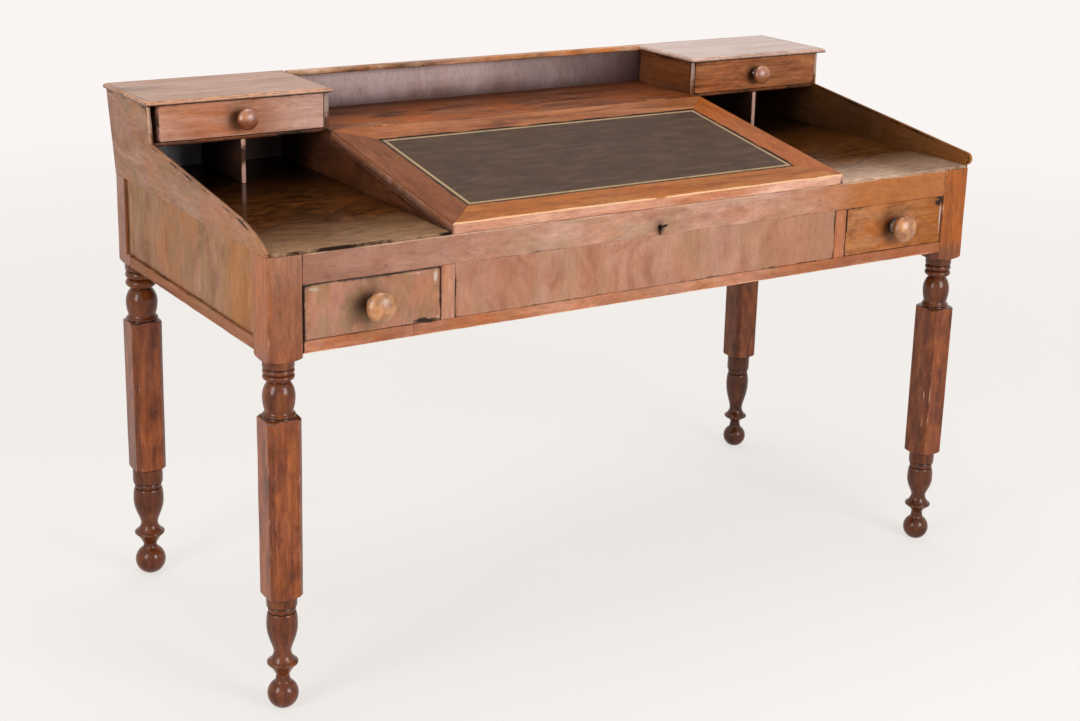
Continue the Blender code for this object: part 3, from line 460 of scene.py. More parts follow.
def sheet_faces(rows, columns):
    """Quads of two like grids, one after the other, joined around their edges into a closed board."""
    index = np.arange(rows * columns).reshape(rows, columns)
    around = np.concatenate([index[0, :], index[1:, -1], index[-1, -2::-1], index[-2::-1, 0]])
    under = around + rows * columns
    rim = np.stack([around[:-1], around[1:], under[1:], under[:-1]], axis=-1)
    return np.concatenate([grid_faces(rows, columns), grid_faces(rows, columns, rows * columns), rim])


def eased(near_a, near_b, arris):
    """How far a face sinks near two edges that are rounded to the arris: a quarter circle, or an eighth of a ball."""
    inset = np.minimum(np.hypot(np.maximum(arris - near_a, 0), np.maximum(arris - near_b, 0)), arris)
    return arris - np.sqrt(arris**2 - inset**2)


def board(name, node, flat, body, material, seed, arris=0.0012, pitch=0.012, rub=0.3, edge_dirt_and_shade=0.5, slot="mahogany",
          inside=(0.0, 0.0), bend=None, box=None, spots=(), grime_and_shade_smudges=(), lines=((), ()), dent=None):
    """A planed board in a node's box, seen as two faces across its flat axis that sink at their worn arrises.

    soil is the dirt along its edges, for all of them or in turn for the low and high edges of its two lengths; an
    upright board that faces forward has it in front only. It is partly real dirt and partly painted shade of the
    gaps beside the edges; a negative soil lights the edge pale instead, as wear and as a painted highlight line.
    inside gives the painted shade of the lower and the higher face.
    A box given takes the place of the node's own, and bend moves the finished points.
    Each spot (place, place, reach, reach, age) is a worn, blackened or lit place: chips, and some painted highlights.
    Each smudge, given alike, is soft darkening, fainter on the higher face: grime, and painted shadow where a recess,
    a keyhole or a knob shades the board. lines are more places to cut the grid, and dent gives how deep the lower
    face is cut, and darkens the cut as painted shade.
    """
    low, high = corners(node) if box is None else np.array(box)
    first, second = [axis for axis in range(3) if axis != flat]
    a, b = np.meshgrid(np.union1d(edge_steps(low[first], high[first], arris, pitch), lines[0]),
                       np.union1d(edge_steps(low[second], high[second], arris, pitch), lines[1]), indexing="ij")
    edges = [a - low[first], high[first] - a, b - low[second], high[second] - b]
    near_a, near_b = np.minimum(edges[0], edges[1]), np.minimum(edges[2], edges[3])
    worn = arris * np.clip(0.8 + 0.3 * ripple(a, b, seed, 0.07), 0.4, 1.3)
    worn = np.minimum(worn, 0.45 * (high[flat] - low[flat]))
    sink = eased(near_a, near_b, worn)
    near = np.minimum(near_a, near_b)
    wear_and_painted_light = rub * bell(near, 1.2 * arris) * (0.55 + 0.6 * ripple(a, b, seed + 1, 0.05))
    uneven = 0.6 + 0.4 * ripple(a, b, seed + 2, 0.11)
    clean = wear_and_painted_light
    # Dark along the edges: dirt, and painted shade of the gaps beside them; a negative value lights the edge pale
    # instead.
    for edge, dirt_and_shade in zip(edges, np.broadcast_to(edge_dirt_and_shade, 4)):
        wear_and_painted_light = wear_and_painted_light - dirt_and_shade * (1.1 * bell(edge, 0.0018) + 0.35 * np.exp(-edge / 0.007)) * uneven
    for spot_a, spot_b, reach_a, reach_b, tint in spots:
        wear_and_painted_light = wear_and_painted_light + tint * bell(a - spot_a, reach_a) * bell(b - spot_b, reach_b)
    points = np.zeros((2, *a.shape, 3))
    points[..., first] = a
    points[..., second] = b
    points[0, ..., flat] = low[flat] + sink
    points[1, ..., flat] = high[flat] - sink
    shade = np.stack([np.full(a.shape, inside[0]), np.full(a.shape, inside[1])])
    # Soft darkening: grime, and painted shadow of recesses, keyholes and knobs.
    for spot_a, spot_b, reach_a, reach_b, share in grime_and_shade_smudges:
        shade_and_grime = share * bell(a - spot_a, reach_a) * bell(b - spot_b, reach_b)
        shade = shade + np.stack([shade_and_grime, 0.4 * shade_and_grime])
    marks = {"wear_and_painted_light": np.stack([wear_and_painted_light, clean if flat == 1 else wear_and_painted_light]), "shade": np.clip(shade, 0, 1)}
    if dent is not None:
        points[0, ..., flat] += dent(a, b)
        # The cut is darkened as painted shade.
        marks["shade"][0] = np.maximum(marks["shade"][0], np.clip(dent(a, b) / 0.001, 0, 1))
    if bend is not None:
        points = bend(points)
    return piece(name, points, sheet_faces(*a.shape), marks, body, slot, material, node)


def keyhole(a, b):
    """Depth of the keyhole in the upper rail: a round hole over a slot, with a shallow chip broken out beside it."""
    across, up = a - KEYHOLE[0], b - KEYHOLE[1]
    slot = (np.abs(across) < KEY_SLOT[0]) & (up < 0) & (up > -KEY_SLOT[1])
    hole = (np.hypot(across, up) < KEY_ROUND) | slot
    chip = bell(across - 0.009, 0.009) * bell(up + 0.001 - 0.15 * across, 0.0030)
    return np.where(hole, KEY_DEPTH, CHIP_DEPTH * (chip > 0.5))


near_key = (KEYHOLE[0] + np.arange(-0.007, 0.0201, 0.0005), KEYHOLE[1] + np.arange(-0.015, 0.0071, 0.0005))
near_split = (RAIL_SPLIT + np.arange(-0.002, 0.0021, 0.0005), ())
# The keyhole's surround is darkened: grime, and painted shade that widens the dark of the hole.
board("upper_front_rail", "top_rail", 1, "carcass", front_wood, 20, edge_dirt_and_shade=(0.6, 0.6, 0.3, -0.9), lines=near_key,
      dent=keyhole, grime_and_shade_smudges=((KEYHOLE[0], KEYHOLE[1] - 0.004, 0.007, 0.010, 0.9), (*KEYHOLE, 0.018, 0.012, 0.3)))
# Its left end is darkened: dirt, and painted shade of the gap at the post.
board("lower_front_rail", "bottom_rail", 1, "carcass", rail_wood, 21, edge_dirt_and_shade=(1.4, 0.5, -0.8, 0.4),
      spots=((RAIL_SPLIT, 0.616, 0.0008, 0.02, -0.9),), lines=near_split)
for number, hand in enumerate(("left", "right")):
    board("muntin_board_" + hand, "muntin_" + hand, 1, "carcass", muntin_wood, 22 + number, edge_dirt_and_shade=0.4)
# Its right edge is darkened: painted shade of the gap beside the muntin, with dirt.
board("fixed_panel", "centre_panel", 1, "carcass", panel_wood, 24, edge_dirt_and_shade=(0.8, 1.8, 0.7, 0.4))


# Case sides, back and bottom: panels of mahogany let into the posts over narrow rails, and plain boards out of sight
# that carry the drawers and close the well.
side_wood = wood("side mahogany", "Z", (132, 90, 64), (156, 112, 84), (168, 126, 98), (170, 110, 62), 4.9,
                 bloom=(158, 118, 102), run=0.45, flame=0.8, haze=0.45, olive=0.5, blotch=1.5,
                 streak=0.2, gloss=0.04, coat=0.02, fades=(("Y", -0.05, -0.29, (168, 110, 60), 0.6),))
side_rail_wood = wood("side rail mahogany", "Y", (118, 70, 44), (150, 96, 66), (172, 116, 84), (164, 92, 46), 5.9,
                      bloom=(160, 108, 84), gloss=0.04, coat=0.02)
plain_woods = {}
for number, grain in enumerate("XY"):
    plain_woods[grain] = wood("secondary wood along " + grain, grain, (112, 76, 50), (148, 108, 76), (168, 130, 96),
                              (138, 94, 60), 6.1 + number, bloom=(158, 120, 92), figure=34.0, run=0.09, patch=0.35,
                              haze=0.25, olive=0.15, streak=0.45, rough=(0.55, 0.7), gloss=0.08, coat=0.0)


def dress(material, *nodes):
    """Gives CAD nodes that show as they are their material."""
    for node in nodes:
        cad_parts[node].material_slots[0].material = material


for number, hand in enumerate(("left", "right")):
    rear = corners("side_panel_" + hand)[1][1]
    # Its rear edge is darkened, by soil and a smudge: painted shade in the rebate beside the rear post.
    board("side_board_" + hand, "side_panel_" + hand, 0, "carcass", side_wood, 31 + number,
          edge_dirt_and_shade=(0.5, 2.0, 0.8, 0.0), rub=0.0, grime_and_shade_smudges=((rear, 0.7, 0.005, 9.0, 0.9),))
    board("side_lower_rail_" + hand, "side_rail_" + hand, 0, "carcass", side_rail_wood, 33 + number)
    dress(plain_woods["Y"], "partition_" + hand)
dress(plain_woods["X"], "back_panel", "case_bottom")


# Compartment floors: thin boards on the case, pale at the front, partly rubbed grey where ledgers slid in and out
# and partly painted sheen, and painted dark far in as shade under the decks, with chipped front edges darkened by
# dirt and painted shade. Their polish is left only further in.
FLOOR_EDGE = -0.3155
for number, (hand, plain, worn, kept, line, chips) in enumerate((
    ("left", (68, 37, 15), (158, 122, 92), (), 1.0,
     ((-0.700, FLOOR_EDGE, 0.010, 0.005, -2.6), (-0.560, FLOOR_EDGE, 0.004, 0.003, -2.0))),
    ("right", (92, 52, 21), (212, 178, 153), (("X", 0.52, 0.60, (74, 42, 16), 0.46),), 0.45,
     ((0.430, FLOOR_EDGE, 0.016, 0.002, -1.4),)),
)):
    floor_wood = wood(hand + " compartment floor", "X", (20, 8, 4), plain, (98, 56, 22), (92, 46, 14), 7.3 + number,
                      bloom=(78, 47, 22), figure=18.0, run=0.5, flame=2.6, patch=0.45, fleck=0.28, streak=0.25,
                      rough=(0.5, 0.6), gloss=0.0, polish=0.13,
                      # The pale front fades are rubbed wear and painted sheen; the dark fade far in is painted shade
                      # under the decks.
                      fades=(("Y", -0.15, -0.31, worn, 0.85), *kept, ("Y", -0.04, 0.15, (16, 7, 3), 0.85)))
    tree = floor_wood.node_tree
    place = add(tree, "ShaderNodeTexCoord").outputs["Object"]
    along = add(tree, "ShaderNodeSeparateXYZ", {0: place}).outputs["Y"]
    feed(tree, tree.nodes["Principled BSDF"], {"Coat Weight": spread(tree, along, -0.21, -0.05, 0.06, 0.72)})
    board("compartment_floor_" + hand, "floor_" + hand, 2, "carcass", floor_wood, 41 + number,
          edge_dirt_and_shade=(0.8, 0.8, line, 0.6), spots=chips, pitch=0.006)


# End and inner boards: sides of the open compartments, their top edges sloping from the drawer boxes down to a
# rounded nose. The left end board has sprung outwards and has lost its nose.
BOARD_FOOT = 0.7653
FLOOR_TOP = 0.7708
DECK_TOP = 0.8553
BOX_TOP = 0.9195
BOX_FRONT = 0.1485
CASE_FRONT = -0.3065
CASE_BACK = 0.3435
NOSE = 0.0237
NOSE_OVERHANG = 0.009
NOSE_LIFT = 0.0004
NOSE_RADIUS = NOSE / 2
NOSE_CENTRE = (CASE_FRONT + NOSE_RADIUS - NOSE_OVERHANG, FLOOR_TOP + NOSE_RADIUS + NOSE_LIFT)
END_FACES = (0.718, 0.725)
END_ARRIS = 0.002
LEFT_SPLAY = 0.012
LEFT_FRONT = -0.3025
LEFT_WORN_TO = -0.19
LEFT_FINE_TO = -0.2
SLOPE = (DECK_TOP - FLOOR_TOP - NOSE) / (BOX_FRONT - CASE_FRONT)


def slope_line(along):
    """Height of an end board's sloping top edge at a place along y."""
    return FLOOR_TOP + NOSE + SLOPE * (along - CASE_FRONT)


def cut_board(name, node, sides, columns, feet, tops, near, material, seed, bend=None, inside=(0.0, 0.0)):
    """A board cut to an outline: columns at given places along y, each from its foot up to its top.

    Rows crowd towards the foot and the top; near gives the distance of a point from the outline's other edges, and
    the faces sink towards every edge but the foot as the arris is rounded. A dark line runs a little in from those
    edges, dirt and painted shade, and the edge beside the drawer is pale, rubbed bare and a painted highlight. The
    shades given for the two faces are painted shade on inner faces, and deepen towards the back.
    """
    steps = np.concatenate([END_ARRIS * np.array([0, 0.13, 0.5, 1, 2]), 2 * END_ARRIS + np.array([0.002, 0.006])])
    share = np.linspace(0, 1, 12)[1:-1]
    feet = np.broadcast_to(feet, columns.shape)
    tall = np.maximum(tops - feet, 1e-5)[:, None]
    close = np.minimum(steps[None, :], tall * steps[None, :] / (2.2 * steps[-1]))
    middle = close[:, -1:] + (tall - 2 * close[:, -1:]) * share
    rise = np.concatenate([close, middle, (tall - close)[:, ::-1]], axis=1)
    height = feet[:, None] + rise
    along = np.broadcast_to(columns[:, None], height.shape)
    ends = near(along, height)
    edge = tall - rise
    front = np.where(height > DECK_TOP + 0.002, np.abs(along - BOX_FRONT), 1.0)
    worn = END_ARRIS * np.clip(0.85 + 0.25 * ripple(along, height, seed, 0.08), 0.4, 1.3)
    worn = np.minimum(worn, 0.45 * (sides[1] - sides[0]))
    sink = eased(edge, ends, worn)
    least = np.minimum(edge, ends)
    wear_and_painted_light = 0.3 * bell(least, 1.3 * END_ARRIS) * (0.5 + 0.6 * ripple(along, height, seed + 1, 0.05))
    # A dark line a little in from the edges: dirt and painted shade.
    wear_and_painted_light = wear_and_painted_light - 0.95 * bell(least - 0.003, 0.002) * (0.7 + 0.5 * ripple(along, height, seed + 2, 0.09))
    # The edge beside the drawer is lit pale: wear and a painted highlight.
    wear_and_painted_light = wear_and_painted_light + 1.3 * bell(front, 0.002)
    points = np.stack([np.stack([side, along, height], -1) for side in (sides[0] + sink, sides[1] - sink)])
    if bend is not None:
        points = bend(points)
    # Painted shade on the inner faces, deepening towards the back.
    depth = 0.45 + 0.55 * np.clip((along - CASE_FRONT) / 0.3, 0, 1)
    marks = {"wear_and_painted_light": np.stack([wear_and_painted_light, wear_and_painted_light]), "shade": np.stack([inside[0] * depth, inside[1] * depth])}
    piece(name, points, sheet_faces(*height.shape), marks, "carcass", "mahogany", material, node)


def box_near(along, height):
    """Distance from the back edge, and from the front edge of the part that rises beside the drawer."""
    front = np.where(height > DECK_TOP + 1e-4, along - BOX_FRONT, 1.0)
    return np.maximum(np.minimum(CASE_BACK - along, front), 0)


def right_near(along, height):
    """As box_near, and round the nose the distance from its arc."""
    from_centre = np.hypot(along - NOSE_CENTRE[0], height - NOSE_CENTRE[1])
    nose = np.where(along < NOSE_CENTRE[0], NOSE_RADIUS - from_centre, 1.0)
    return np.maximum(np.minimum(box_near(along, height), nose), 0)


end_wood = wood("end board mahogany", "Y", (136, 94, 71), (162, 119, 98), (174, 135, 115), (172, 114, 72), 8.9,
                bloom=(170, 132, 119), run=0.35, flame=0.8, patch=0.55, haze=0.45, olive=0.5, blotch=1.5,
                streak=0.22, gloss=0.04, coat=0.02, fades=(("Y", -0.05, -0.29, (166, 110, 64), 0.5),))
golden_end_wood = wood("right end board mahogany", "Y", (124, 76, 42), (152, 99, 60), (168, 117, 76), (172, 106, 50),
                       8.3, bloom=(156, 108, 74), run=0.35, flame=1.2, haze=0.3, olive=0.3,
                       blotch=1.5, streak=0.3, gloss=0.04, coat=0.02,
                       fades=(("Y", -0.12, -0.29, (178, 112, 54), 0.6),))
nose_turn = np.radians(np.linspace(180, 90, 14))
nose_columns = NOSE_CENTRE[0] + (NOSE_RADIUS - 1e-5) * np.cos(nose_turn)
nose_half = np.sqrt(np.maximum(NOSE_RADIUS**2 - (nose_columns - NOSE_CENTRE[0]) ** 2, 1e-10))
slope_columns = np.concatenate([np.linspace(NOSE_CENTRE[0] + 1e-5, BOX_FRONT - 0.02, 36),
                                BOX_FRONT - np.array([0.012, 0.006, 0.003, 0.001, 0.0])])
box_columns = edge_steps(BOX_FRONT + 1e-5, CASE_BACK, END_ARRIS, 0.016)
box_tops = np.full(len(box_columns), BOX_TOP)
right_y = np.concatenate([nose_columns, slope_columns, box_columns])
right_feet = np.full(len(right_y), BOARD_FOOT)
right_feet[:len(nose_columns)] = NOSE_CENTRE[1] - nose_half
right_tops = np.concatenate([NOSE_CENTRE[1] + nose_half, slope_line(slope_columns), box_tops])
cut_board("end_panel_right", "end_board_right", END_FACES, right_y, right_feet, right_tops, right_near,
          golden_end_wood, 51, inside=(0.8, 0.0))
worn_y = np.array([LEFT_FRONT, -0.28225, -0.2483, -0.2095, LEFT_WORN_TO])
worn_z = np.array([0.7718, 0.7847, 0.7972, 0.80746, slope_line(LEFT_WORN_TO)])
further_back = slope_columns[slope_columns > LEFT_FINE_TO + 0.001]
left_slope = np.concatenate([np.linspace(LEFT_FRONT, LEFT_FINE_TO, 24), further_back])
worn_tops = np.where(left_slope < LEFT_WORN_TO, np.interp(left_slope, worn_y, worn_z), slope_line(left_slope))
left_y = np.concatenate([left_slope, box_columns])
left_tops = np.concatenate([worn_tops, box_tops])


def splay(points):
    """Leans the points outwards to the left, more the higher they are."""
    moved = points.copy()
    moved[..., 0] -= LEFT_SPLAY * (points[..., 2] - BOARD_FOOT) / (BOX_TOP - BOARD_FOOT)
    return moved


cut_board("end_panel_left", "end_board_left", (-END_FACES[1], -END_FACES[0]), left_y, BOARD_FOOT, left_tops, box_near,
          end_wood, 52, bend=splay, inside=(0.0, 0.9))
LID_ANGLE = np.radians(9.331)
HINGE = (0.1259, 0.8557)
LID_UNDERSIDE = -0.0188
SHELF_FRONT = 0.1265
INNER_TIP = -0.2803
GALLERY_FRONT = 0.3282
INNER_FACES = (0.3995, 0.4085)
GLUE = 0.0003


def inner_near(along, height):
    """Distance from the front tip, from the back edge, and from the front edge of the part beside the drawer."""
    front = np.where(height > DECK_TOP + 1e-4, along - BOX_FRONT, along - INNER_TIP)
    return np.maximum(np.minimum(GALLERY_FRONT - along, front), 0)


inner_wood = wood("inner board mahogany", "Y", (56, 28, 16), (104, 62, 42), (130, 82, 58), (150, 82, 36), 9.7,
                  bloom=(108, 70, 56), figure=22.0, run=0.3, olive=0.2, fleck=0.22, gloss=0.1, coat=0.02,
                  wear_and_highlight=(190, 164, 150))
under_lid = np.linspace(INNER_TIP, SHELF_FRONT - 1e-5, 36)
beside_shelf = np.linspace(SHELF_FRONT, BOX_FRONT, 8)
beside_drawer = edge_steps(BOX_FRONT + 1e-5, GALLERY_FRONT, END_ARRIS, 0.016)
inner_y = np.concatenate([under_lid, beside_shelf, beside_drawer])
lid_line = HINGE[1] + np.tan(LID_ANGLE) * (under_lid - HINGE[0]) + (LID_UNDERSIDE - GLUE) / np.cos(LID_ANGLE)
inner_tops = np.concatenate([lid_line, np.full(len(beside_shelf), DECK_TOP), np.full(len(beside_drawer), BOX_TOP)])
# dark is painted shade on each inner board's two faces, deepening towards the back.
for number, (hand, sides, dark) in enumerate((
    ("left", (-INNER_FACES[1], -INNER_FACES[0]), (0.55, 0.1)),
    ("right", INNER_FACES, (0.1, 0.6)),
)):
    cut_board("inner_side_" + hand, "inner_board_" + hand, sides, inner_y, BOARD_FOOT, inner_tops, inner_near,
              inner_wood, 53 + number, inside=dark)


# Gallery, shelf and drawer boxes: a back board with a thin cap, the level shelf before it, and on each side a deck on
# one upright divider, a drawer space, and a thin moulded top that overhangs.
MOULDING = (0.0055, 0.0048)
MOULDING_LINE = 0.0062
# Its grey-lilac tones, the pale band up its middle and the pale grey at its left end are painted sheen; the dark
# bands at its foot and under the cap are painted shade; it also darkens to the right, and its back face is plain
# brown.
gallery_sheen_wood = wood("gallery mahogany", "Z", (126, 98, 93), (156, 128, 124), (182, 158, 156), (140, 104, 95), 10.9,
                    bloom=(180, 160, 162), figure=8.0, run=0.5, flame=0.3, patch=0.35, haze=0.4, olive=0.2,
                    streak=0.06, fleck=0.1, coat=0.1,
                    fades=(("Z", 0.874, 0.897, (202, 178, 173), 0.55), ("X", 0.0, 0.32, (58, 34, 30), 0.9),
                           ("Z", 0.876, 0.857, (62, 38, 32), 0.75), ("Z", 0.911, 0.919, (104, 74, 64), 0.6),
                           ("X", -0.50, -0.58, (150, 148, 152), 0.9), ("Y", 0.331, 0.339, (110, 74, 50), 0.9)))
cap_wood = wood("gallery cap mahogany", "X", (84, 44, 22), (176, 122, 88), (216, 168, 132), (214, 124, 50), 11.3,
                bloom=(176, 132, 104), run=0.4, patch=0.8, haze=0.4, streak=0.4, fleck=0.3)
# The shelf darkens towards the gallery at the back: painted shade.
shelf_wood = wood("shelf mahogany", "X", (42, 16, 7), (120, 64, 35), (162, 104, 68), (176, 90, 30), 12.1,
                  bloom=(136, 86, 62), run=0.2, flame=1.2, patch=0.8, blotch=1.6, fleck=0.25, gloss=0.04,
                  coat=0.03, fades=(("Y", 0.18, 0.30, (50, 23, 12), 0.85), ("X", 0.0, 0.35, (92, 44, 20), 0.55)))
top_woods = {
    "left": wood("left box top mahogany", "X", (116, 78, 54), (166, 116, 88), (184, 138, 112), (176, 116, 80), 13.3,
                 bloom=(190, 146, 128), run=0.15, flame=0.8, patch=0.5, haze=0.5, olive=0.3, streak=0.4,
                 coat=0.32, polish=0.22, wear_and_highlight=(224, 158, 108)),
    # The right top's paler tones and near-white edge colour are painted sheen from the light grazing its polish.
    "right": wood("right box top mahogany", "X", (160, 114, 94), (176, 132, 112), (190, 150, 132), (180, 126, 100),
                  13.9, bloom=(194, 156, 144), run=0.15, flame=0.8, patch=0.3, haze=0.5, olive=0.3,
                  streak=0.12, fleck=0.08, coat=0.76, polish=0.22, wear_and_highlight=(236, 206, 186)),
}
# Dark tones for the dividers in the pigeonholes: painted shade of the recess.
pigeonhole_shaded_wood = wood("pigeonhole mahogany", "Y", (46, 24, 15), (78, 46, 31), (104, 68, 50), (60, 36, 26), 14.9,
                 figure=22.0, wear_and_highlight=(214, 168, 148))


def draw_in(points):
    """Moves the left end of a board in towards its foot, where the sprung end board leans in."""
    moved = points.copy()
    low, high = points[..., 0].min(), points[..., 0].max()
    share = (high - points[..., 0]) / (high - low)
    moved[..., 0] += share * LEFT_SPLAY * (points[..., 2].max() - points[..., 2]) / (BOX_TOP - BOARD_FOOT)
    return moved


board("gallery_board", "gallery_back", 1, "carcass", gallery_sheen_wood, 61, bend=draw_in)
board("gallery_strip", "gallery_cap", 2, "carcass", cap_wood, 62, arris=0.0022, rub=0.6, edge_dirt_and_shade=0.2)
board("shelf_board", "shelf", 2, "carcass", shelf_wood, 63)
# The decks' undersides and the dividers' faces are darkened as painted shade in the pigeonholes.
board("deck_board_left", "deck_left", 2, "carcass", inner_wood, 64, bend=draw_in, inside=(0.6, 0.0))
board("deck_board_right", "deck_right", 2, "carcass", inner_wood, 65, inside=(0.6, 0.0))
for number, hand in enumerate(("left", "right")):
    board("divider_board_" + hand, "divider_" + hand, 0, "carcass", pigeonhole_shaded_wood, 66 + number, rub=0.0, arris=0.0018,
          edge_dirt_and_shade=(-1.3, 0.5, 0.2, 0.2), inside=(0.6, 0.6))


def moulded_top(name, node, material, seed):
    """A thin top board whose upper face falls at every edge in a quarter round behind a fine sunk line."""
    low, high = corners(node)
    steps = np.array([0, 0.0002, 0.0006, 0.0013, 0.0022, 0.0034, 0.0046, 0.0055, 0.0060, 0.0064, 0.0072, 0.009,
                      0.014])
    lines = []
    for axis in (0, 1):
        middle = np.linspace(low[axis] + steps[-1], high[axis] - steps[-1], 26)[1:-1]
        lines.append(np.concatenate([low[axis] + steps, middle, (high[axis] - steps)[::-1]]))
    a, b = np.meshgrid(*lines, indexing="ij")
    near_a = np.minimum(a - low[0], high[0] - a)
    near_b = np.minimum(b - low[1], high[1] - b)
    near = np.minimum(near_a, near_b)
    outer = np.clip(1 - near / MOULDING[0], 0, 1)
    round_over = MOULDING[1] * (1 - np.sqrt(1 - outer**2))
    sunk = 0.0007 * bell(near - MOULDING_LINE, 0.0005)
    dish = 0.0002 * np.maximum(1 + ripple(a, b, seed, 0.16), 0) * (near > 0.009)
    upper = np.stack([a, b, high[2] - round_over - sunk - dish], axis=-1)
    lower = np.stack([a, b, low[2] + eased(near_a, near_b, 0.0012)], axis=-1)
    # A pale band on the round-over: worn, and a painted highlight.
    wear_and_painted_light = 1.1 * bell(near - 0.0026, 0.0012) * (0.8 + 0.5 * ripple(a, b, seed + 1, 0.05))
    # The sunk line is blackened as painted shade, and the outermost edge is lit pale.
    wear_and_painted_light = wear_and_painted_light - 1.1 * bell(near - MOULDING_LINE, 0.0007) + 0.5 * bell(near, 0.0010)
    points = np.stack([upper, lower])
    # The underside is painted dark: shade under the overhang.
    marks = {"wear_and_painted_light": np.stack([wear_and_painted_light, np.full(wear_and_painted_light.shape, -0.6)]), "shade": np.stack([0 * wear_and_painted_light, 0.8 + 0 * wear_and_painted_light])}
    piece(name, points, sheet_faces(*a.shape), marks, "carcass", "mahogany", material, node)


for number, (hand, top_wood) in enumerate(top_woods.items()):
    moulded_top("moulded_top_" + hand, "box_top_" + hand, top_wood, 68 + number)


# Lid, the writing slope: a core board edged with four mitred strips that frame a leather inlay. The leather is worn
# dark grey-brown, with one gold-tooled line near its edge.
LID_HALF = 0.406
LID_BACK = -0.000657
LID_FRONT = -0.44129
LID_TOP = -0.000297
STRIP = 0.062
STRIP_DEPTH = 0.0022
LEATHER = 0.0015
GOLD_LINE = 0.0078
MITRE_GAP = 0.0002


def on_slope(points):
    """Places points given as across, up the slope from the hinge, and out of it in the desk's own frame."""
    cosine, sine = np.cos(LID_ANGLE), np.sin(LID_ANGLE)
    return np.stack([points[..., 0], HINGE[0] + points[..., 1] * cosine - points[..., 2] * sine,
                     HINGE[1] + points[..., 1] * sine + points[..., 2] * cosine], axis=-1)


def mitre_ends(points):
    """Shortens a front or back strip towards its inner edge, to meet its neighbours at 45 degrees."""
    moved = points.copy()
    inset = np.minimum(points[..., 1] - LID_FRONT, LID_BACK - points[..., 1])
    moved[..., 0] *= (LID_HALF - inset - MITRE_GAP) / LID_HALF
    return on_slope(moved)


def mitre_sides(points):
    """As mitre_ends, for a left or right strip."""
    moved = points.copy()
    inset = LID_HALF - np.abs(points[..., 0])
    middle, half = (LID_FRONT + LID_BACK) / 2, (LID_BACK - LID_FRONT) / 2
    moved[..., 1] = middle + (points[..., 1] - middle) * (half - inset - MITRE_GAP) / half
    return on_slope(moved)


core_wood = wood("lid edge mahogany", "X", (166, 104, 74), (200, 144, 118), (220, 172, 148), (198, 124, 84), 15.7,
                 bloom=(210, 160, 140), figure=30.0, haze=0.5, olive=0.1)
# Its pale edge colour makes the painted highlight along the front arris.
strip_wood = wood("lid strip mahogany", "X", (128, 64, 20), (168, 97, 39), (186, 117, 56), (174, 90, 20), 16.9,
                  bloom=(176, 108, 58), figure=30.0, run=0.2, olive=0.3, fleck=0.2, gloss=0.06, wear_and_highlight=(250, 204, 160))
back_strip_wood = wood("lid back strip mahogany", "X", (112, 57, 26), (158, 92, 50), (182, 118, 73), (166, 88, 34),
                       17.9, bloom=(174, 112, 76), figure=30.0, run=0.2, olive=0.2, fleck=0.2, gloss=0.05)
side_strip_wood = wood("lid side strip mahogany", "Y", (116, 56, 22), (160, 88, 40), (178, 105, 55), (166, 82, 22),
                       17.3, bloom=(168, 97, 54), figure=30.0, run=0.2, olive=0.2, fleck=0.2, gloss=0.06,
                       wear_and_highlight=(206, 160, 126))
strip_top = LID_TOP - STRIP_DEPTH
# The lid's end faces are painted darker towards the bottom: shade.
board("lid_board", "lid_core", 2, "lid", core_wood, 71, bend=on_slope, arris=0.0010, rub=0.0,
      edge_dirt_and_shade=(0.0, 0.0, -0.2, 0.0), grime_and_shade_smudges=((-LID_HALF, -0.2, 0.003, 9.0, 0.85), (LID_HALF, -0.2, 0.003, 9.0, 0.85)),
      box=((-LID_HALF, LID_FRONT, LID_UNDERSIDE), (LID_HALF, LID_BACK, strip_top - 0.0001)))
for number, (name, low, high, material, mitre, edge_dirt_and_shade, painted_strip_shade) in enumerate((
    # The front strip's negative soil at its front edge is a painted highlight along the arris.
    ("front", (-LID_HALF, LID_FRONT), (LID_HALF, LID_FRONT + STRIP), strip_wood, mitre_ends,
     (0.1, 0.1, -1.6, 0.9), 0.0),
    ("back", (-LID_HALF, LID_BACK - STRIP), (LID_HALF, LID_BACK), back_strip_wood, mitre_ends,
     (0.1, 0.1, 1.0, 0.1), 0.0),
    # The left strip's last value is painted shade on its upper face.
    ("left", (-LID_HALF, LID_FRONT), (-LID_HALF + STRIP, LID_BACK), side_strip_wood, mitre_sides,
     (0.2, 1.0, 0.1, 0.1), 0.48),
    ("right", (LID_HALF - STRIP, LID_FRONT), (LID_HALF, LID_BACK), side_strip_wood, mitre_sides,
     (1.0, 0.2, 0.1, 0.1), 0.0),
)):
    board("lid_strip_" + name, "lid_border_" + name, 2, "lid", material, 72 + number, bend=mitre, arris=0.0007,
          rub=0.2, edge_dirt_and_shade=edge_dirt_and_shade, inside=(0.0, painted_strip_shade), box=((*low, strip_top), (*high, LID_TOP)))


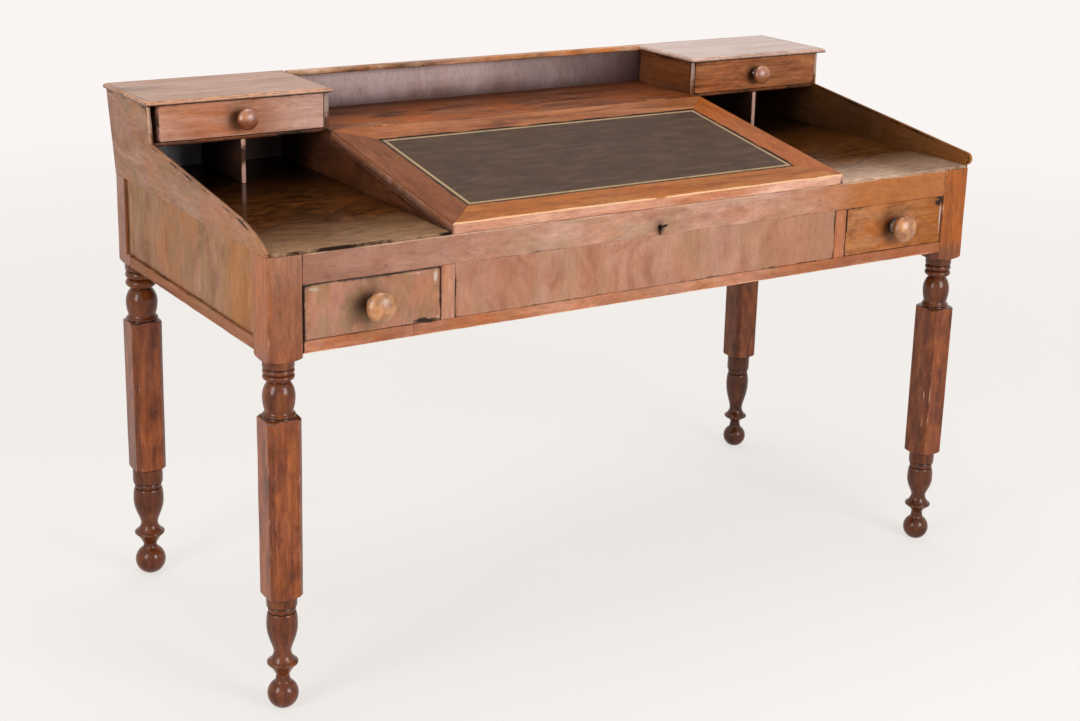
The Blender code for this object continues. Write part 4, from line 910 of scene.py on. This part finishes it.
def hide(name):
    """Worn desk leather: mottled grey-brown with fine creases, and a gold line set in from the edge.

    The across and along attributes give the distances from the leather's edges.
    """
    material, tree, shader, place = new_surface(name)
    mottle = cloud(tree, place, 16.0, 6.0, 0.68, 0.4)
    grain = cloud(tree, place, 420.0, 3.0, 0.6)
    scuff = cloud(tree, stretch(tree, place, "X", 0.25, 4.4), 60.0, 4.0, 0.7)
    colour = mix(tree, spread(tree, mottle, 0.30, 0.70), tone(58, 41, 31), tone(86, 65, 52))
    colour = layer(tree, colour, scuff, 0.48, 0.70, 0.5, (108, 85, 69))
    colour = layer(tree, colour, grain, 0.5, 0.7, 0.3, (44, 30, 22))
    edge = reckon(tree, "MINIMUM", mark(tree, "across"), mark(tree, "along"))
    colour = layer(tree, colour, edge, 0.0050, 0.0036, 0.75, (44, 28, 20))
    off = reckon(tree, "ABSOLUTE", reckon(tree, "SUBTRACT", edge, GOLD_LINE))
    line = spread(tree, off, 0.0032, 0.0024, 0.0, 0.85)
    rubbed = spread(tree, mottle, 0.28, 0.45, 0.35, 1.0)
    colour = mix(tree, reckon(tree, "MULTIPLY", line, rubbed), colour, tone(182, 154, 114))
    bump = add(tree, "ShaderNodeBump", {"Strength": 0.25, "Distance": 0.0003, "Height": grain}).outputs[0]
    feed(tree, shader, {"Base Color": colour, "Roughness": spread(tree, mottle, 0.3, 0.7, 0.45, 0.62), "Normal": bump,
                        "Specular IOR Level": 0.06})
    return material


leather = board("leather_inlay", "lid_leather", 2, "lid", hide("worn leather"), 76, bend=on_slope, arris=0.0004,
                rub=0.0, edge_dirt_and_shade=0.0, slot="leather",
                box=((-LID_HALF + STRIP + GLUE, LID_FRONT + STRIP + GLUE, strip_top + 0.0001),
                     (LID_HALF - STRIP - GLUE, LID_BACK - STRIP - GLUE, strip_top + LEATHER)))
flat_points = np.zeros(len(leather.data.vertices) * 3, dtype=np.float32)
leather.data.vertices.foreach_get("co", flat_points)
flat_points = flat_points.reshape(-1, 3)
up_slope = (flat_points[:, 1] - HINGE[0]) * np.cos(LID_ANGLE) + (flat_points[:, 2] - HINGE[1]) * np.sin(LID_ANGLE)
for label, gap in (("across", LID_HALF - STRIP - np.abs(flat_points[:, 0])),
                   ("along", np.minimum(LID_BACK - STRIP - up_slope, up_slope - LID_FRONT - STRIP))):
    leather.data.attributes.new(label, "FLOAT", "POINT").data.foreach_set("value", gap.astype(np.float32))


# Hinges, lock and link plate: tarnished cast brass, screwed to the shelf, to the lid and behind the upper rail. They
# are CAD nodes, and show only when the lid is up.
brass, tree, shader, place = new_surface("tarnished brass")
patches = cloud(tree, place, 90.0, 5.0, 0.65)
colour = mix(tree, spread(tree, patches, 0.35, 0.65), tone(112, 66, 36), tone(150, 98, 54))
feed(tree, shader, {"Base Color": colour, "Roughness": spread(tree, patches, 0.3, 0.7, 0.55, 0.34), "Metallic": 0.6})
dress(brass, "hinge_fixed_left", "hinge_fixed_right", "hinge_moving_left", "hinge_moving_right", "lock_case",
      "link_plate")


# Drawers, two below and two above: mahogany fronts with worn arrises on dovetailed frames of plainer wood, each drawn
# by one turned knob whose tenon is glued into the front.
KNOBS = {"lower": (0.0255, 0.043), "upper": (0.019, 0.033)}
TENON = (0.010, 0.0045)
# Dark edges of each drawer front: dirt, and painted shade of the gaps round it.
EDGE_DIRT_AND_SHADE = {"lower_left": (1.9, 1.2, 0.3, 2.0), "lower_right": (0.9, 2.2, 0.5, 0.9),
             "upper_left": (0.7, 0.6, 0.4, 0.6), "upper_right": (0.7, 0.7, 0.5, 0.5)}
CHIPS_AND_HIGHLIGHTS = {
    "lower_left": ((-0.651, 0.7085, 0.013, 0.0024, 1.7), (-0.470, 0.7095, 0.030, 0.0016, 1.3),
                   (-0.4345, 0.7010, 0.0026, 0.011, 1.6), (-0.450, 0.6310, 0.020, 0.0036, -2.0),
                   (-0.446, 0.6335, 0.006, 0.0018, 3.2), (-0.432, 0.6330, 0.004, 0.0015, 3.0)),
    # Beside the lower right drawer's corner chip, and down the gap at its right end, the positive values are painted
    # highlights.
    "lower_right": ((0.656, 0.7080, 0.010, 0.009, -2.0), (0.653, 0.7095, 0.005, 0.0022, 2.6),
                    (0.6600, 0.6780, 0.0016, 0.034, 2.2)),
    "upper_left": ((-0.56, 0.8575, 0.09, 0.0010, 1.2),),
    "upper_right": ((0.55, 0.8573, 0.10, 0.0008, 0.6),),
}
drawer_woods = {
    "lower_left": wood("lower left drawer", "Z", (138, 92, 68), (158, 114, 88), (174, 130, 106), (178, 112, 78), 18.1,
                       bloom=(178, 122, 108), figure=20.0, run=0.6, flame=1.0, patch=0.55, haze=0.55, olive=0.6,
                       blotch=1.8, streak=0.18, wear_and_highlight=(196, 186, 172)),
    "lower_right": wood("lower right drawer", "X", (108, 54, 20), (162, 98, 54), (188, 126, 82), (164, 88, 30), 19.3,
                        bloom=(182, 126, 96), figure=22.0, run=0.6, flame=1.8, haze=0.5, blotch=2.0,
                        streak=0.25, fleck=0.22, wear_and_highlight=(184, 174, 176),
                        fades=(("X", 0.55, 0.63, (146, 81, 19), 0.75),)),
    "upper_left": wood("upper left drawer", "X", (150, 92, 66), (190, 138, 114), (210, 166, 146), (198, 118, 68),
                       20.7, bloom=(208, 164, 150), figure=34.0, haze=0.5, olive=0.1,
                       fades=(("X", -0.54, -0.44, (212, 170, 154), 0.8),)),
    "upper_right": wood("upper right drawer", "X", (92, 42, 20), (164, 97, 58), (190, 124, 80), (164, 86, 38), 21.1,
                        bloom=(170, 104, 66), figure=34.0, run=0.2, flame=0.8, blotch=1.6, fleck=0.26,
                        streak=0.5),
}
knob_woods = {
    "lower": wood("lower knob wood", "Y", (116, 66, 26), (172, 112, 60), (200, 141, 89), (170, 94, 30), 22.3,
                  bloom=(196, 138, 95), figure=40.0, fleck=0.18, rough=(0.36, 0.44), gloss=0.8, coat=0.3,
                  polish=0.36),
    "upper": wood("upper knob wood", "Y", (88, 42, 20), (160, 90, 50), (186, 116, 72), (156, 78, 28), 23.9,
                  bloom=(170, 108, 76), figure=40.0, fleck=0.18, rough=(0.36, 0.44), gloss=0.9, coat=0.4,
                  polish=0.34),
}


def knob_surface(centre, radius, reach):
    """A turned knob about its axis along -y: a tenon, a foot, a hollow neck and a mushroom head of half an ellipse.

    The third value is its painted shade, deepest at the foot and the neck, that fades out over the back of the head.
    """
    head = 0.62 * radius
    foot, neck = 0.52 * radius, 0.40 * radius
    rows = np.concatenate([
        np.array([[0.0, -TENON[0], 0.0], [TENON[1], -TENON[0], 0.0], [TENON[1], 0.0003, 0.0]]),
        np.array([[foot, 0.0003, 0.9], [foot, 0.0022, 0.9]]),
        sweep((foot, 0.003), (neck, 0.007), 0.5, 7, 0.85),
        sweep((neck, 0.008), (neck + 0.001, reach - 1.8 * head), 1.0, 5, 0.8),
        arc((0, reach - head), (radius, head), -56, 90, 40),
    ])
    # Painted shade on the neck and over the back of the head.
    rows[:, 2] = np.where(rows[:, 1] < reach - 1.8 * head + 1e-6, rows[:, 2],
                          0.75 * np.clip((reach - 0.55 * head - rows[:, 1]) / (1.2 * head), 0, 1))
    turns = 64
    angle = np.linspace(0, 2 * np.pi, turns, endpoint=False)
    points = np.stack([centre[0] + rows[:, :1] * np.cos(angle),
                       centre[1] - np.broadcast_to(rows[:, 1:2], (len(rows), turns)),
                       centre[2] + rows[:, :1] * np.sin(angle)], axis=-1)
    return points, grid_faces(len(rows), turns, loop=True), np.broadcast_to(rows[:, 2:], (len(rows), turns))


for number, (drawer, material) in enumerate(drawer_woods.items()):
    carrier, tier = drawer + "_drawer", drawer[:5]
    low, high = corners(drawer + "_front")
    centre = ((low[0] + high[0]) / 2, low[1], (low[2] + high[2]) / 2)
    grip = KNOBS[tier][0]
    # A soft dark patch on the front to the left of the knob: painted shadow of the knob, with some grime.
    shade_and_grime = ((centre[0] - 0.4 * grip, centre[2], 1.05 * grip, 0.9 * grip, 0.92),)
    board(drawer + "_drawer_front", drawer + "_front", 1, carrier, material, 81 + number, arris=0.0015,
          edge_dirt_and_shade=EDGE_DIRT_AND_SHADE[drawer], spots=CHIPS_AND_HIGHLIGHTS[drawer], grime_and_shade_smudges=shade_and_grime, pitch=0.004)
    dress(plain_woods["Y"], drawer + "_frame", drawer + "_bottom")
    points, faces, shade = knob_surface(centre, *KNOBS[tier])
    piece(drawer + "_turned_knob", points, faces, {"shade": shade}, carrier, "knob_wood", knob_woods[tier],
          drawer + "_knob")


# Stage: a pale seamless floor that runs out of the picture on every side, under a white sky. The camera and
# reflections see it partly as a plain glow, a little brighter with distance, so that shadows on it stay as faint as
# on a white studio sweep.
FLOOR_SPAN = 30.0
FLOOR_LEVEL = -0.0003
GLOW_NEAR = 0.8
GLOW_FAR = 4.5
SKY_BEFORE = 0.18
SKY_BEHIND = 0.95
SKY_WHITE = (1.0, 0.985, 0.97, 1.0)
FROM_CAMERA = (0.54, 0.84, -0.35)


def pale_rays(tree):
    """1 for a ray from the camera, in a reflection or through glass, which all show the pale ground, and else 0."""
    path = add(tree, "ShaderNodeLightPath").outputs
    mirrored = reckon(tree, "MAXIMUM", path["Is Glossy Ray"], path["Is Transmission Ray"])
    return reckon(tree, "MAXIMUM", path["Is Camera Ray"], mirrored)


paper, tree, shader, place = new_surface("pale paper")
distance = add(tree, "ShaderNodeVectorMath", {0: place}, operation="LENGTH").outputs["Value"]
pale = mix(tree, spread(tree, distance, GLOW_NEAR, GLOW_FAR), tone(247, 243, 239), tone(255, 250, 247))
glow = add(tree, "ShaderNodeEmission", {"Color": pale}).outputs[0]
share = reckon(tree, "MULTIPLY", pale_rays(tree), spread(tree, distance, GLOW_NEAR, GLOW_FAR, 0.72, 0.93))
feed(tree, shader, {"Base Color": tone(236, 233, 229), "Roughness": 0.8})
sheer = add(tree, "ShaderNodeMixShader", {0: share, 1: shader.outputs[0], 2: glow}).outputs[0]
feed(tree, tree.nodes["Material Output"], {"Surface": sheer})
floor_mesh = bpy.data.meshes.new("studio_floor")
floor_corners = [(FLOOR_SPAN * x, FLOOR_SPAN * y, FLOOR_LEVEL) for x, y in ((-1, -1), (1, -1), (1, 1), (-1, 1))]
floor_mesh.from_pydata(floor_corners, [], [(0, 1, 2, 3)])
floor_mesh.materials.append(paper)
floor = bpy.data.objects.new("studio_floor", floor_mesh)
bpy.context.collection.objects.link(floor)
sky = bpy.data.worlds.new("studio")
sky.use_nodes = True
tree = sky.node_tree
towards = add(tree, "ShaderNodeTexCoord").outputs["Generated"]
behind = add(tree, "ShaderNodeVectorMath", {0: towards, 1: FROM_CAMERA}, operation="DOT_PRODUCT").outputs["Value"]
strength = spread(tree, behind, -0.15, 0.75, SKY_BEFORE, SKY_BEHIND)
strength = reckon(tree, "MAXIMUM", strength, pale_rays(tree))
feed(tree, tree.nodes["Background"], {"Color": SKY_WHITE, "Strength": strength})
bpy.context.scene.world = sky


# Light: a tall soft box close to the desk's left side, another in front and a little to the right, and a broad one
# overhead.
def stand(thing, right, up, back, where):
    """Puts a lamp or camera into the scene at a place, turned by its right, its up and the way its back faces."""
    thing.matrix_world = Matrix(np.column_stack([right, up, back, where]).tolist() + [[0, 0, 0, 1]])
    bpy.context.collection.objects.link(thing)


def soft_box(name, where, target, size, power):
    """An area light of that width, height and power, aimed from where it stands at the target."""
    data = bpy.data.lights.new(name, "AREA")
    data.shape = "RECTANGLE"
    data.size, data.size_y = size
    data.energy = power
    lamp = bpy.data.objects.new(name, data)
    lamp.visible_camera = False
    back = np.array(where, dtype=float) - np.array(target, dtype=float)
    back /= np.linalg.norm(back)
    right = np.cross((0.0, 0.0, 1.0), back) if abs(back[2]) < 0.99 else np.array((1.0, 0.0, 0.0))
    right /= np.linalg.norm(right)
    stand(lamp, right, np.cross(back, right), back, where)


soft_box("left_box", (-2.9, -0.95, 1.5), (-0.2, 0.0, 0.5), (1.0, 1.5), 42.0)
soft_box("right_box", (0.9, -3.3, 1.7), (0.1, 0.0, 0.5), (1.5, 1.6), 84.0)
soft_box("top_box", (0.1, 0.5, 4.0), (0.1, 0.3, 0.6), (2.6, 2.6), 60.0)


# Camera: where the photograph was taken from, fitted to the desk's corners; it looks down, is rolled a little, and
# its picture is shifted to frame the desk as the photograph does.
AZIMUTH, PITCH, ROLL = np.radians([-32.787, 15.866, 1.499])
STAND = (-1.8237, -2.7787, 1.5027)
forward = np.array([-np.sin(AZIMUTH) * np.cos(PITCH), np.cos(AZIMUTH) * np.cos(PITCH), -np.sin(PITCH)])
level = np.cross(forward, (0.0, 0.0, 1.0))
level /= np.linalg.norm(level)
upright = np.cross(level, forward)
across = np.cos(ROLL) * level + np.sin(ROLL) * upright
upward = -np.sin(ROLL) * level + np.cos(ROLL) * upright
lens = bpy.data.cameras.new("camera")
lens.lens = 61.703
lens.sensor_width = 36.0
lens.sensor_fit = "HORIZONTAL"
lens.shift_x = -0.0033
lens.shift_y = -0.0742
lens.clip_end = 200.0
camera = bpy.data.objects.new("camera", lens)
stand(camera, across, upward, -forward, STAND)
scene = bpy.context.scene
scene.camera = camera
scene.view_settings.view_transform = "Standard"
